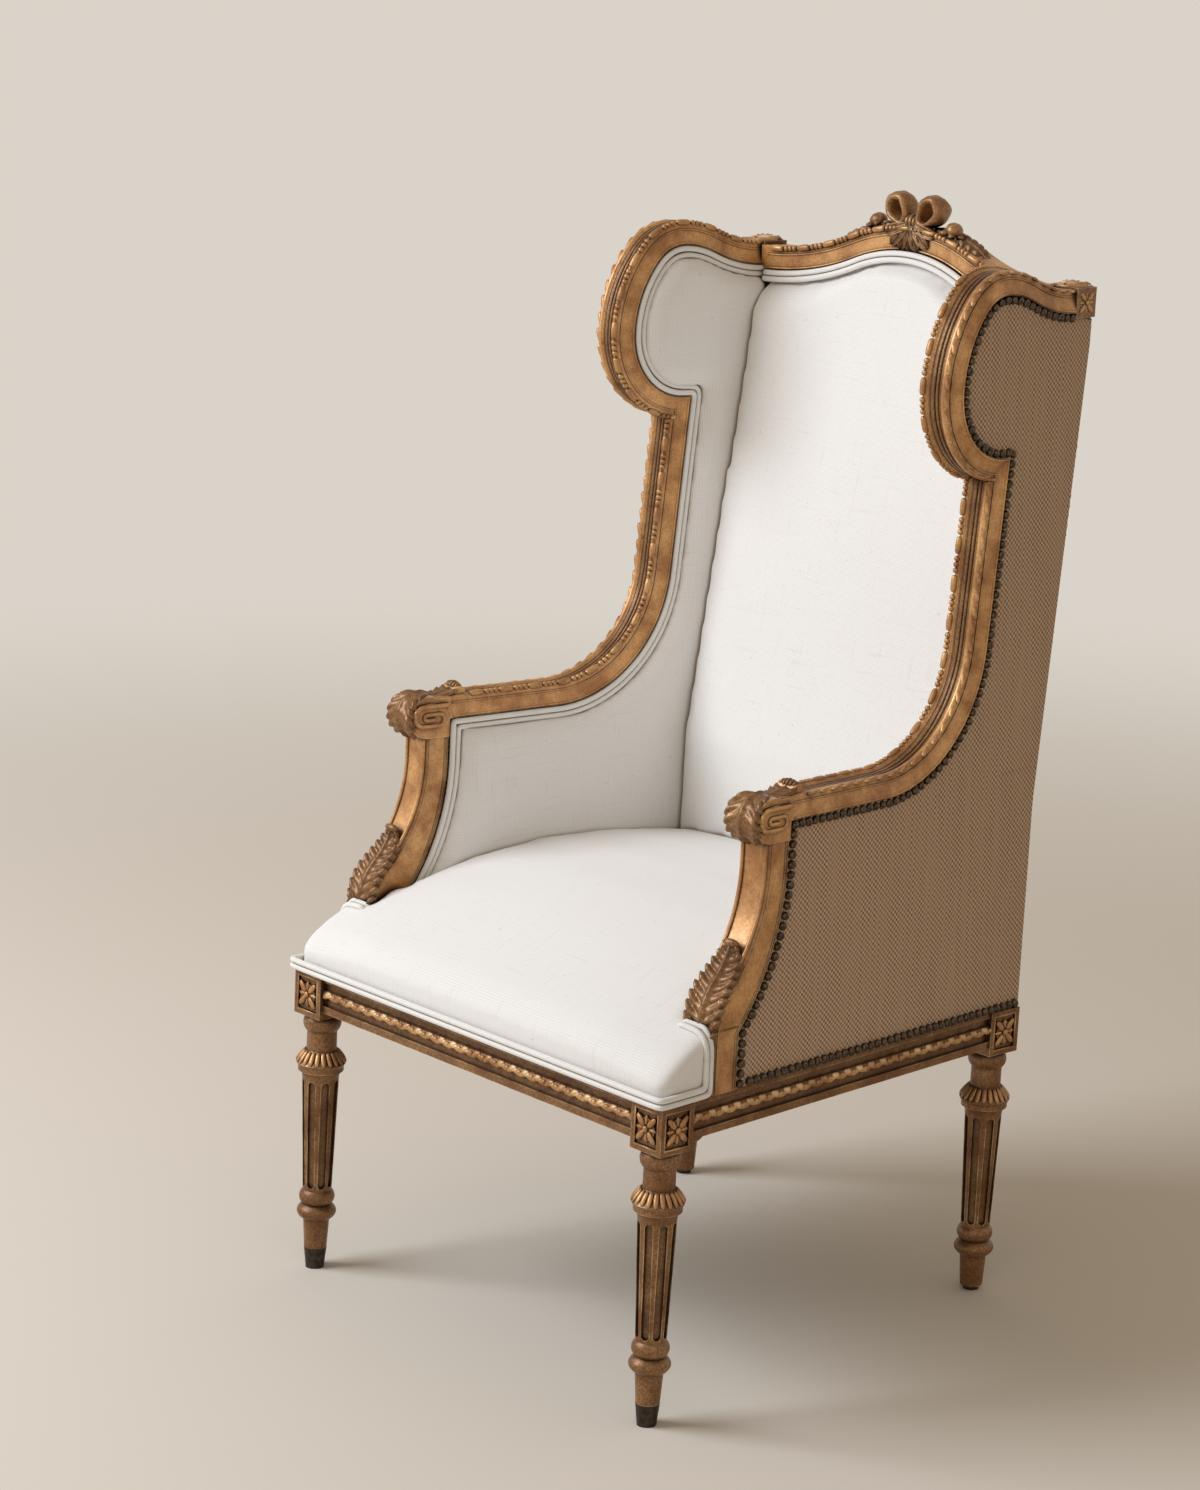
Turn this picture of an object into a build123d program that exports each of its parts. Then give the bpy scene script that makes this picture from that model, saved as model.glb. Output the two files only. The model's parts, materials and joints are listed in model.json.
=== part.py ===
# Wing armchair in the neoclassical manner: a carved and gilded frame round a tight sprung seat.
# The chair is drawn square to its seat and then leaned back on its shorter rear legs.
# The two side frames are drawn flat, X running back from the front leg, Y up and Z outwards.
import os
from math import atan2, cos, degrees, pi, radians, sin, sqrt

from build123d import *

# Plan of the seat frame, between leg axes, in millimetres
front_leg_spacing = 531.0
rear_leg_spacing = 453.0
leg_depth = 513.0
rear_leg_drop = 16.4
side_frame_offset = 2.6

# Seat rails
rail_top = 335.0
rail_height = 40.0
rail_thickness = 27.0
rail_recess = 4.0
rail_fillet_height = 6.0
rail_band_height = 8.0
rail_hollow_depth = 3.5
rail_bead_radius = 4.6
tenon_length = 16.0
tenon_thickness = 10.0
tenon_height = 25.0
joint_gap = 0.15

# Turned legs
block_size = 43.2
block_height = 48.4
panel_margin = 5.5
panel_depth = 2.0
rosette_radius = 12.5
rosette_height = 1.8
rosette_petals = 8
top_ring_radius = 20.5
top_ring_height = 18.6
neck_radius = 16.2
neck_height = 21.0
collar_radius = 26.8
collar_height = 14.0
band_radius = 24.5
band_height = 9.0
step_radius = 21.8
step_height = 6.5
shaft_top_radius = 19.8
shaft_foot_radius = 15.6
ankle_ring_radius = 19.2
ankle_ring_top = 89.0
bulb_radius = 21.3
bulb_top = 73.0
cone_top_radius = 14.2
cone_top = 55.0
foot_radius = 12.2
cap_height = 23.0
cap_rim_radius = 12.4
cap_foot_radius = 10.0
cap_rim_drop = 1.0
flute_count = 8
flute_radius = 4.2
flute_depth = 3.2
flute_margin = 8.0
glide_height = 5.0
glide_radius = 8.5

# Moulded frame of arms and wings: a channel between two arrises, then swelling sides
arris_offset = 12.0
arris_radius = 3.2
channel_depth = 2.2
swell_half_width = 20.0
show_depth = 22.5
rebate_half_width = 15.0
moulding_depth = 38.0

# Arm and wing line, along the arrises
arm_height = 621.5
scroll_centre = 114.0
scroll_drop = 19.5
scroll_length = 52.0
scroll_height = 46.0
scroll_half_width = 19.5
volute_length = 44.0
volute_height = 27.0
volute_lift = 2.5
leaf_curl_radius = 6.5
leaf_curl_back = 44.0
arm_bend_radius = 127.0
wing_lean = 4.8
notch_height = 909.0
notch_lead = 13.1
ear_reach = 199.1
ear_lower_radius = 94.0
ear_upper_radius = 142.0
ear_upper_turn = 41.0
ear_top_radius = 68.0
ear_back_radius = 125.0
ear_back_turn = 22.0
ear_tail_radius = 150.0

# Arm posts
post_front = 46.0
post_base_depth = 36.0
post_base_height = 59.0
post_half_width = 18.0
post_front_chamfer = 5.0
post_lower_radius = 72.0
post_sweep = 44.2
post_neck = 24.7
post_top_depth = 30.0
post_tenon = 12.0
post_tenon_length = 16.0

# Rear stiles, part of the rear legs
stile_depth = 32.0
stile_kick_height = 560.0
stile_rake = 40.0
rake_drop = 56.0
corner_block_height = 31.0
corner_block_rise = 3.0

# Crest rail
crest_proud = 2.7
crest_plan_bow = 15.0
crest_thickness = 30.0
crest_end_drop = 4.0
crest_rise = 40.5
crest_turn = 22.8
crest_upper_radius = 219.0
crest_flat = 204.0
crest_rebate = 6.0
crest_tenon_length = 14.0
crest_tenon_height = 16.0

# Ribbon bow on the crest
bow_loop_length = 48.0
bow_loop_height = 32.0
bow_ribbon = 9.0
bow_thickness = 11.0
bow_tilt = 16.0
bow_knot_radius = 9.0
fan_lobe_length = 27.0
fan_lobe_width = 11.0
fan_lobes = 5
fan_thickness = 5.0
spray_length = 62.0
spray_height = 9.0
spray_at = 70.0
fan_spread = 130.0

# Upholstery
pad_gap = 0.3
side_pad_thickness = 17.0
side_pad_crown = 7.0
side_pad_shoulder = 14.0
side_pad_back_gap = 5.0
welt_width = 13.0
welt_height = 7.0
cloth_thickness = 2.5
nail_strip_width = 8.6
nail_strip_height = 2.5
seat_setback = 5.4
seat_front_height = 88.0
seat_crown_height = 131.0
seat_back_height = 106.0
seat_front_bulge = 4.0
seat_shoulder_drop = 24.0
seat_front_roll = 30.0
seat_edge_drop = 8.0
roll_steps = 4
crown_steps = 6
side_seat_out = 13.0
back_pad_thickness = 52.0
back_pad_taper = 24.0
back_pad_crown = 20.0
back_pad_lip = 8.0
back_cover_drop = 26.0
lining_thickness = 1.5
tacking_rail_height = 26.0
tacking_rail_base = 386.0
back_rail_base = 432.0
back_rail_depth = 22.0
corner_brace_leg = 62.0
brace_margin = 3.0
dowel_radius = 4.0
dowel_length = 30.0

# Places worked out from the sizes above
half_depth = leg_depth / 2
taper = degrees(atan2((front_leg_spacing - rear_leg_spacing) / 2, leg_depth))
side_length = leg_depth / cos(radians(taper))
rail_bottom = rail_top - rail_height
block_bottom = rail_top - block_height
half_block = block_size / 2
rail_middle = rail_bottom + rail_height / 2
front_face = -half_depth + half_block
rear_face = half_depth - half_block
front_inner = -half_depth - half_block + rail_recess + rail_thickness
front_rail_length = front_leg_spacing - block_size
rear_inner = half_depth + half_block - rail_recess - rail_thickness
rear_rail_length = rear_leg_spacing - block_size
side_outer = half_block - rail_recess - side_frame_offset
side_inner = side_outer - rail_thickness
lean = degrees(atan2(rear_leg_drop, leg_depth))
front_leg_at = (front_leg_spacing / 2, -half_depth)
rear_leg_at = (rear_leg_spacing / 2, half_depth)
side_plane = Plane(
    origin=(front_leg_spacing / 2 + side_frame_offset, -half_depth, 0),
    x_dir=(-sin(radians(taper)), cos(radians(taper)), 0),
    z_dir=(cos(radians(taper)), sin(radians(taper)), 0),
)
floor_plane = Plane(
    origin=(0, -half_depth, 0),
    x_dir=(1, 0, 0),
    z_dir=(0, -sin(radians(lean)), cos(radians(lean))),
)
pieces = []


def keep(builder, name):
    builder.part.label = name
    pieces.append(builder.part)


def keep_pair(builder, name, flat=False):
    right = builder.part.moved(side_plane.location) if flat else builder.part
    left = mirror(right, about=Plane.YZ)
    right.label = f"right_{name}"
    left.label = f"left_{name}"
    pieces.append(right)
    pieces.append(left)


def plan(run, out):
    point = side_plane.from_local_coords(Vector(run, 0, out))
    return (point.X, point.Y)


def side_wall(out):
    return Plane(side_plane.from_local_coords(Vector(0, 0, out)), z_dir=side_plane.z_dir)


# Line of the arrises in the flat side frame, moved by inset towards the upholstery
lean_sin = sin(radians(wing_lean))
lean_cos = cos(radians(wing_lean))
arm_bend_turn = 90 - wing_lean
stile_back = side_length + half_block
stile_front = stile_back - stile_depth
corner_back = stile_back + stile_rake
corner_front = corner_back - stile_depth
ear_front = corner_front - ear_reach
ear_low = ear_front + ear_lower_radius
notch_at = ear_low - notch_lead
wing_foot_height = arm_height + arm_bend_radius * (1 - lean_sin)
wing_foot = notch_at - (notch_height - wing_foot_height) * lean_sin / lean_cos
arm_bend_start = wing_foot - arm_bend_radius * lean_cos
ear_upper_end = ear_front + ear_upper_radius * (1 - cos(radians(ear_upper_turn)))
ear_top = ear_upper_end + ear_top_radius * cos(radians(ear_upper_turn))
ear_top_height = (
    notch_height
    + ear_lower_radius
    + (ear_upper_radius - ear_top_radius) * sin(radians(ear_upper_turn))
    + ear_top_radius
)
tail_sin = sin(radians(ear_back_turn))
tail_cos = cos(radians(ear_back_turn))
ear_arcs = ear_back_radius + ear_tail_radius
ear_back_run = (corner_front - ear_top - ear_arcs * tail_sin) / tail_cos
ear_end_height = ear_top_height - ear_arcs * (1 - tail_cos) - ear_back_run * tail_sin
corner_middle = corner_back - stile_depth / 2
corner_top = ear_end_height + corner_block_rise
corner_foot = corner_top - corner_block_height
rake_top = ear_end_height - rake_drop
mitre_run = (1 + lean_sin) / lean_cos
mitre_along = (mitre_run / sqrt(mitre_run**2 + 1), 1 / sqrt(mitre_run**2 + 1))
mitre_plane = Plane(
    origin=(notch_at, notch_height, 0),
    x_dir=(0, 0, 1),
    z_dir=(-mitre_along[1], mitre_along[0], 0),
)


def notch_corner(inset):
    return (notch_at + inset * mitre_run, notch_height + inset)


def ear_line(start, inset):
    low = Line(start, (ear_low, notch_height + inset))
    lower = JernArc(low @ 1, (-1, 0), ear_lower_radius - inset, -90)
    upper = JernArc(lower @ 1, lower % 1, ear_upper_radius - inset, -ear_upper_turn)
    top = JernArc(upper @ 1, upper % 1, ear_top_radius - inset, ear_upper_turn - 90)
    back = JernArc(top @ 1, top % 1, ear_back_radius - inset, -ear_back_turn)
    slope = Line(back @ 1, (back @ 1) + (back % 1) * ear_back_run)
    return JernArc(slope @ 1, slope % 1, ear_tail_radius + inset, ear_back_turn)


def wing_line(start, inset):
    run = Line((start, arm_height - inset), (arm_bend_start, arm_height - inset))
    bend = JernArc(run @ 1, (1, 0), arm_bend_radius + inset, arm_bend_turn)
    Line(bend @ 1, notch_corner(inset))
    return ear_line(notch_corner(inset), inset)


# Line of the post's rear edge in the flat side frame
scroll_floor = arm_height - scroll_drop - scroll_height / 2
post_base_top = rail_top + post_base_height
post_curve_top = scroll_floor - post_neck
post_rise = post_curve_top - post_base_top
post_upper_radius = post_rise / sin(radians(post_sweep)) - post_lower_radius
post_shift = (post_lower_radius + post_upper_radius) * (1 - cos(radians(post_sweep)))
post_curve_mid = post_base_top + post_rise / 2
post_top_front = post_front + post_shift
post_top_back = post_top_front + post_top_depth
post_base_back = post_front + post_base_depth
post_top_middle = (post_top_front + post_top_back) / 2
back_reach = post_top_back - post_base_back
post_back_radius = (back_reach**2 + post_rise**2) / (2 * back_reach)


def post_back(height):
    drop = post_curve_top - height
    return post_top_back - post_back_radius + sqrt(post_back_radius**2 - drop**2)


# Serpentine top line of the crest, seen from the front
crest_end_height = ear_end_height - crest_end_drop
crest_front = plan(corner_front, -swell_half_width)[1] - crest_proud
crest_centre_height = crest_end_height + crest_rise
crest_lower_radius = crest_rise / (1 - cos(radians(crest_turn))) - crest_upper_radius
crest_plan_radius = (crest_flat**2 + crest_plan_bow**2) / (2 * crest_plan_bow)
crest_centre_front = crest_front + crest_plan_bow


def crest_line(drop):
    crown = JernArc((0, crest_centre_height - drop), (1, 0), crest_upper_radius - drop, -crest_turn)
    hollow = JernArc(crown @ 1, crown % 1, crest_lower_radius + drop, crest_turn)
    return Line(hollow @ 1, (crest_flat + crest_thickness, crest_end_height - drop))


def crest_elevation(top_drop, low_drop):
    with BuildSketch(Plane.XZ.offset(-crest_centre_front - 3 * crest_thickness)) as elevation:
        with BuildLine():
            end = crest_line(top_drop)
            low_end = crest_line(low_drop)
            Line(end @ 1, low_end @ 1)
            Line((0, crest_centre_height - top_drop), (0, crest_centre_height - low_drop))
        make_face()
        mirror(about=Plane.YZ)
    return elevation.sketch


def under_crest(drop):
    with BuildSketch(Plane.XZ.offset(-crest_centre_front - 3 * crest_thickness)) as elevation:
        with BuildLine():
            end = crest_line(drop)
            Polyline(end @ 1, ((end @ 1).X, rail_bottom), (0, rail_bottom), (0, crest_centre_height - drop))
        make_face()
        mirror(about=Plane.YZ)
    return elevation.sketch


def crest_band(top_drop, low_drop, front_step, thickness):
    with BuildPart() as band:
        with BuildSketch(Plane.XY.offset(crest_end_height - 4 * crest_rise)):
            with Locations((0, crest_centre_front - crest_plan_radius)):
                Circle(crest_plan_radius + front_step + thickness)
                Circle(crest_plan_radius + front_step, mode=Mode.SUBTRACT)
            with Locations((0, crest_centre_front)):
                Rectangle(2 * (crest_flat + crest_thickness), 6 * crest_thickness, mode=Mode.INTERSECT)
        extrude(amount=8 * crest_rise)
        extrude(crest_elevation(top_drop, low_drop), amount=6 * crest_thickness, mode=Mode.INTERSECT)
    return band.part


# Turned and fluted legs
shaft_top = block_bottom - top_ring_height - neck_height - collar_height - band_height - step_height
flute_foot = ankle_ring_top + flute_margin
flute_head = shaft_top - flute_margin
shaft_slope = (shaft_top_radius - shaft_foot_radius) / (shaft_top - ankle_ring_top)
flute_tilt = degrees(atan2(shaft_slope, 1))
flute_length = (flute_head - flute_foot) / cos(radians(flute_tilt))

with BuildPart() as flute:
    with BuildSketch(Plane.YZ):
        with Locations((0, flute_length / 2)):
            slot = Rectangle(2 * flute_radius, flute_length + 2 * flute_radius)
        chamfer(slot.vertices(), flute_radius * 0.6)
    extrude(amount=flute_depth, both=True)


def turned_leg(at, foot):
    ring_foot = block_bottom - top_ring_height
    collar_top = ring_foot - neck_height
    collar_foot = collar_top - collar_height
    band_foot = collar_foot - band_height
    ring_middle = (ankle_ring_top + bulb_top) / 2
    cone_slope = (cone_top_radius - foot_radius) / (cone_top - cap_height)
    foot_end = foot_radius + cone_slope * (foot - cap_height)
    with BuildPart() as leg:
        with BuildSketch(Plane((*at, 0), x_dir=(1, 0, 0), z_dir=(0, -1, 0))):
            with BuildLine():
                Polyline(
                    (neck_radius, ring_foot),
                    (neck_radius, collar_top),
                    (collar_radius, collar_foot),
                    (band_radius, collar_foot - band_height / 2),
                    (band_radius, band_foot),
                    (step_radius, band_foot),
                    (shaft_top_radius, shaft_top),
                    (shaft_foot_radius, ankle_ring_top),
                )
                ThreePointArc(
                    (shaft_foot_radius, ankle_ring_top),
                    (ankle_ring_radius, ring_middle),
                    (shaft_foot_radius, bulb_top),
                )
                Bezier(
                    (shaft_foot_radius, bulb_top),
                    (2 * bulb_radius - (shaft_foot_radius + cone_top_radius) / 2, (bulb_top + cone_top) / 2),
                    (cone_top_radius, cone_top),
                )
                Polyline(
                    (cone_top_radius, cone_top),
                    (foot_end, foot),
                    (0, foot),
                    (0, block_bottom),
                    (neck_radius, block_bottom),
                )
                ThreePointArc(
                    (neck_radius, block_bottom),
                    (top_ring_radius, (block_bottom + ring_foot) / 2),
                    (neck_radius, ring_foot),
                )
            make_face()
        revolve(axis=Axis((*at, 0), (0, 0, 1)))
        for turn in range(flute_count):
            spoke = Location((*at, 0), (0, 0, (turn + 0.5) * 360 / flute_count))
            flute_radius_at = shaft_foot_radius + shaft_slope * flute_margin
            groove = Location((flute_radius_at, 0, flute_foot), (0, flute_tilt, 0))
            add(flute.part.moved(spoke * groove), mode=Mode.SUBTRACT)
        with BuildSketch(Plane.XY.offset(block_bottom)):
            with Locations(at):
                Rectangle(block_size, block_size)
        extrude(amount=block_height)
    return leg.part


def rosette(at, out):
    middle = Vector(at[0] + out[0] * half_block, at[1] + out[1] * half_block, rail_top - block_height / 2)
    face = Plane(middle, x_dir=(-out[1], out[0], 0), z_dir=(*out, 0))
    with BuildSketch(face) as panel:
        Rectangle(block_size - 2 * panel_margin, block_height - 2 * panel_margin)
    extrude(panel.sketch, amount=-panel_depth, mode=Mode.SUBTRACT)
    with BuildSketch(face.offset(-panel_depth)) as flower:
        RegularPolygon(rosette_radius, rosette_petals)
    extrude(flower.sketch, amount=rosette_height)


def mortise(at, along):
    depth = tenon_length + joint_gap
    reach = half_block - depth / 2
    middle = (at[0] + along[0] * reach, at[1] + along[1] * reach, rail_middle)
    with Locations(Location(middle, (0, 0, degrees(atan2(-along[0], along[1]))))):
        Box(
            tenon_thickness + 2 * joint_gap,
            depth,
            tenon_height + 2 * joint_gap,
            mode=Mode.SUBTRACT,
        )


with BuildPart() as front_leg:
    add(turned_leg(front_leg_at, cap_height))
    rosette(front_leg_at, (0, -1))
    rosette(front_leg_at, (1, 0))
    mortise(front_leg_at, (-1, 0))
    mortise(front_leg_at, (0, 1))
keep_pair(front_leg, "front_leg")

with BuildPart() as stile:
    with BuildSketch():
        with BuildLine():
            Polyline(
                (stile_front, rail_middle),
                (stile_back, rail_middle),
                (stile_back, stile_kick_height),
                (corner_back, rake_top),
                (corner_back, corner_foot),
                (corner_front, corner_foot),
                (corner_front, rake_top),
                (stile_front, stile_kick_height),
                close=True,
            )
        make_face()
    extrude(amount=rebate_half_width, both=True)
    with BuildSketch():
        with Locations((corner_middle, corner_foot + corner_block_height / 2)):
            Rectangle(stile_depth, corner_block_height)
    extrude(amount=swell_half_width, both=True)
    with Locations((corner_middle, corner_foot + corner_block_height / 2, -swell_half_width)):
        Box(
            tenon_thickness + 2 * joint_gap,
            crest_tenon_height + 2 * joint_gap,
            2 * (crest_tenon_length + joint_gap),
            mode=Mode.SUBTRACT,
        )

with BuildPart() as rear_leg:
    add(turned_leg(rear_leg_at, rear_leg_drop))
    split(bisect_by=floor_plane.offset(glide_height), keep=Keep.TOP)
    add(stile.part.moved(side_plane.location))
    rosette(rear_leg_at, (1, 0))
    mortise(rear_leg_at, (-1, 0))
    mortise(rear_leg_at, (0, -1))
keep_pair(rear_leg, "rear_leg")

with BuildPart() as front_foot_caps:
    with BuildSketch(Plane((*front_leg_at, 0), x_dir=(1, 0, 0), z_dir=(0, -1, 0))):
        with BuildLine():
            Polyline(
                (0, -cap_rim_drop),
                (cap_foot_radius, -cap_rim_drop),
                (cap_foot_radius, cap_rim_drop),
                (cap_rim_radius, cap_height),
                (0, cap_height),
                close=True,
            )
        make_face()
    revolve(axis=Axis((*front_leg_at, 0), (0, 0, 1)))
    split(bisect_by=floor_plane, keep=Keep.TOP)
    mirror(about=Plane.YZ)
keep(front_foot_caps, "front_foot_caps")

with BuildPart() as rear_foot_glides:
    with BuildSketch(Plane.XY.offset(rear_leg_drop - 2 * glide_height)):
        with Locations(rear_leg_at):
            Circle(glide_radius)
    extrude(amount=5 * glide_height)
    split(bisect_by=floor_plane, keep=Keep.TOP)
    split(bisect_by=floor_plane.offset(glide_height), keep=Keep.BOTTOM)
    mirror(about=Plane.YZ)
keep(rear_foot_glides, "rear_foot_glides")


# Seat rails, moulded on the show face
def rail_section(plane):
    hollow = rail_thickness - rail_hollow_depth
    upper = rail_top - rail_fillet_height
    lower = rail_bottom + rail_band_height
    bead_middle = (upper + lower) / 2
    with BuildSketch(plane) as section:
        with BuildLine():
            Polyline(
                (hollow, bead_middle + rail_bead_radius),
                (hollow, upper),
                (rail_thickness, upper),
                (rail_thickness, rail_top),
                (0, rail_top),
                (0, rail_bottom),
                (rail_thickness, rail_bottom),
                (rail_thickness, lower),
                (hollow, lower),
                (hollow, bead_middle - rail_bead_radius),
            )
            ThreePointArc(
                (hollow, bead_middle - rail_bead_radius),
                (hollow + rail_bead_radius, bead_middle),
                (hollow, bead_middle + rail_bead_radius),
            )
        make_face()
    return section.sketch


with BuildPart() as front_rail:
    rail_end = Plane((front_rail_length / 2, front_inner, 0), x_dir=(0, -1, 0), z_dir=(-1, 0, 0))
    extrude(rail_section(rail_end), amount=front_rail_length)
    with Locations((0, -half_depth, rail_middle)):
        Box(front_rail_length + 2 * tenon_length, tenon_thickness, tenon_height)
keep(front_rail, "front_rail")

with BuildPart() as rear_rail:
    with Locations((0, rear_inner + rail_thickness / 2, rail_middle)):
        Box(rear_rail_length, rail_thickness, rail_height)
    with Locations((0, half_depth, rail_middle)):
        Box(rear_rail_length + 2 * tenon_length, tenon_thickness, tenon_height)
keep(rear_rail, "rear_rail")

post_seat = (post_front + post_base_depth / 2, rail_top, (side_outer + side_inner) / 2)
with BuildPart() as side_rail_blank:
    rail_end = Plane((side_length, 0, side_inner), x_dir=(0, 0, 1), z_dir=(-1, 0, 0))
    extrude(rail_section(rail_end), amount=side_length)
    with Locations(post_seat):
        Box(
            post_tenon + 2 * joint_gap,
            2 * (post_tenon_length + joint_gap),
            post_tenon + 2 * joint_gap,
            mode=Mode.SUBTRACT,
        )

with BuildPart() as side_rail:
    add(side_rail_blank.part.moved(side_plane.location))
    split(bisect_by=Plane((0, front_face, 0), z_dir=(0, 1, 0)), keep=Keep.TOP)
    split(bisect_by=Plane((0, rear_face, 0), z_dir=(0, 1, 0)), keep=Keep.BOTTOM)
    for x, face, way in ((front_leg_at[0], front_face, -1), (rear_leg_at[0], rear_face, 1)):
        with Locations((x, face + way * tenon_length / 2, rail_middle)):
            Box(tenon_thickness, tenon_length, tenon_height)
keep_pair(side_rail, "side_rail")


# Moulded section of arm and wing: across the frame, then in towards the upholstery
def moulding(plane):
    arris_out = arris_offset + arris_radius
    with BuildSketch(plane) as section:
        with BuildLine():
            ThreePointArc(
                (0, channel_depth),
                (arris_offset / 2, channel_depth * 0.7),
                (arris_offset - arris_radius, 0),
            )
            ThreePointArc(
                (arris_offset - arris_radius, 0),
                (arris_offset, -arris_radius / 2),
                (arris_out, arris_radius / 2),
            )
            ThreePointArc(
                (arris_out, arris_radius / 2),
                ((arris_out + swell_half_width) / 2 - arris_radius / 4, show_depth / 2),
                (swell_half_width, show_depth - arris_radius),
            )
            Polyline(
                (swell_half_width, show_depth - arris_radius),
                (swell_half_width, show_depth),
                (rebate_half_width, show_depth),
                (rebate_half_width, moulding_depth),
                (0, moulding_depth),
                (0, channel_depth),
            )
        make_face()
        mirror(about=Plane.YZ)
    return section.sketch


dowel_at = Vector(
    notch_at + mitre_along[0] * show_depth, notch_height + mitre_along[1] * show_depth, 0
)
dowel_place = Plane(dowel_at, x_dir=(0, 0, 1), z_dir=mitre_plane.z_dir).location

with BuildPart() as upright:
    wing_up = Plane((wing_foot, wing_foot_height, 0), x_dir=(0, 0, 1), z_dir=(lean_sin, lean_cos, 0))
    extrude(moulding(wing_up), amount=notch_height + 2 * moulding_depth - wing_foot_height)
    split(bisect_by=mitre_plane, keep=Keep.BOTTOM)

with BuildPart() as arm_rail:
    with BuildLine() as arm_path:
        arm_run = Line((scroll_centre + scroll_length / 4, arm_height), (arm_bend_start, arm_height))
        JernArc(arm_run @ 1, (1, 0), arm_bend_radius, arm_bend_turn)
    sweep(moulding(Plane(arm_path.line @ 0, x_dir=(0, 0, 1), z_dir=arm_path.line % 0)), path=arm_path.line)
    add(upright.part)
    with BuildSketch():
        with Locations((scroll_centre, arm_height - scroll_drop)):
            Ellipse(scroll_length / 2, scroll_height / 2)
        with Locations(((scroll_centre + post_top_back) / 2, (arm_height + scroll_floor) / 2)):
            Rectangle(post_top_back - scroll_centre, arm_height - scroll_floor)
    extrude(amount=scroll_half_width, both=True)
    with BuildSketch():
        with Locations((scroll_centre, arm_height - scroll_drop + volute_lift)):
            Ellipse(volute_length / 2, volute_height / 2)
    extrude(amount=scroll_half_width + volute_lift, both=True)
    with Locations((scroll_centre + leaf_curl_back, arm_height + leaf_curl_radius / 2, 0)):
        Cylinder(leaf_curl_radius, 2 * arris_offset)
    with Locations((post_top_middle, scroll_floor, 0)):
        Box(
            post_tenon + 2 * joint_gap,
            2 * (post_tenon_length + joint_gap),
            post_tenon + 2 * joint_gap,
            mode=Mode.SUBTRACT,
        )
    with Locations(dowel_place):
        Cylinder(dowel_radius + joint_gap, dowel_length + 2 * joint_gap, mode=Mode.SUBTRACT)
keep_pair(arm_rail, "arm_rail", flat=True)

with BuildPart() as ear_rail:
    with BuildLine() as ear_path:
        ear_line((notch_at + 2 * moulding_depth, notch_height), 0)
    sweep(moulding(Plane(ear_path.line @ 0, x_dir=(0, 0, 1), z_dir=ear_path.line % 0)), path=ear_path.line)
    split(bisect_by=mitre_plane, keep=Keep.TOP)
    with Locations(dowel_place):
        Cylinder(dowel_radius + joint_gap, dowel_length + 2 * joint_gap, mode=Mode.SUBTRACT)
keep_pair(ear_rail, "ear_rail", flat=True)

with BuildPart() as wing_dowel:
    with Locations(dowel_place):
        Cylinder(dowel_radius, dowel_length)
keep_pair(wing_dowel, "wing_dowel", flat=True)

with BuildPart() as arm_post:
    with BuildSketch():
        with BuildLine():
            base = Line((post_front, rail_top), (post_front, post_base_top))
            low = JernArc(base @ 1, (0, 1), post_lower_radius, -post_sweep)
            high = JernArc(low @ 1, low % 1, post_upper_radius, post_sweep)
            Polyline(
                high @ 1,
                (post_top_front, scroll_floor),
                (post_top_back, scroll_floor),
                (post_top_back, post_curve_top),
            )
            ThreePointArc(
                (post_top_back, post_curve_top),
                (post_back(post_curve_mid), post_curve_mid),
                (post_base_back, post_base_top),
            )
            Polyline((post_base_back, post_base_top), (post_base_back, rail_top), (post_front, rail_top))
        make_face()
    extrude(amount=post_half_width, both=True)
    front_faces = arm_post.faces().filter_by(
        lambda face: face.normal_at().X < -0.5 and abs(face.normal_at().Z) < 0.1
    )
    front_edges = front_faces.edges().filter_by(
        lambda edge: abs(abs(edge.center().Z) - post_half_width) < joint_gap
    )
    chamfer(front_edges, post_front_chamfer)
    with Locations((post_seat[0], rail_top - post_tenon_length / 2, post_seat[2])):
        Box(post_tenon, post_tenon_length, post_tenon)
    with Locations((post_top_middle, scroll_floor + post_tenon_length / 2, 0)):
        Box(post_tenon, post_tenon_length, post_tenon)
keep_pair(arm_post, "arm_post", flat=True)

# Crest rail, cut to the corner blocks and tenoned into them
crest_tenon_at = side_plane.from_local_coords(
    Vector(corner_middle, corner_foot + corner_block_height / 2, -swell_half_width)
)
with BuildPart() as crest_rail:
    add(crest_band(-arris_radius, show_depth, 0, crest_thickness))
    add(crest_band(show_depth, moulding_depth, crest_rebate, crest_thickness - crest_rebate))
    split(bisect_by=side_wall(-swell_half_width), keep=Keep.BOTTOM)
    with Locations(Location(crest_tenon_at, (0, 0, taper))):
        Box(2 * crest_tenon_length, tenon_thickness, crest_tenon_height)
    split(bisect_by=Plane.YZ, keep=Keep.TOP)
    mirror(about=Plane.YZ)
keep(crest_rail, "crest_rail")

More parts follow.
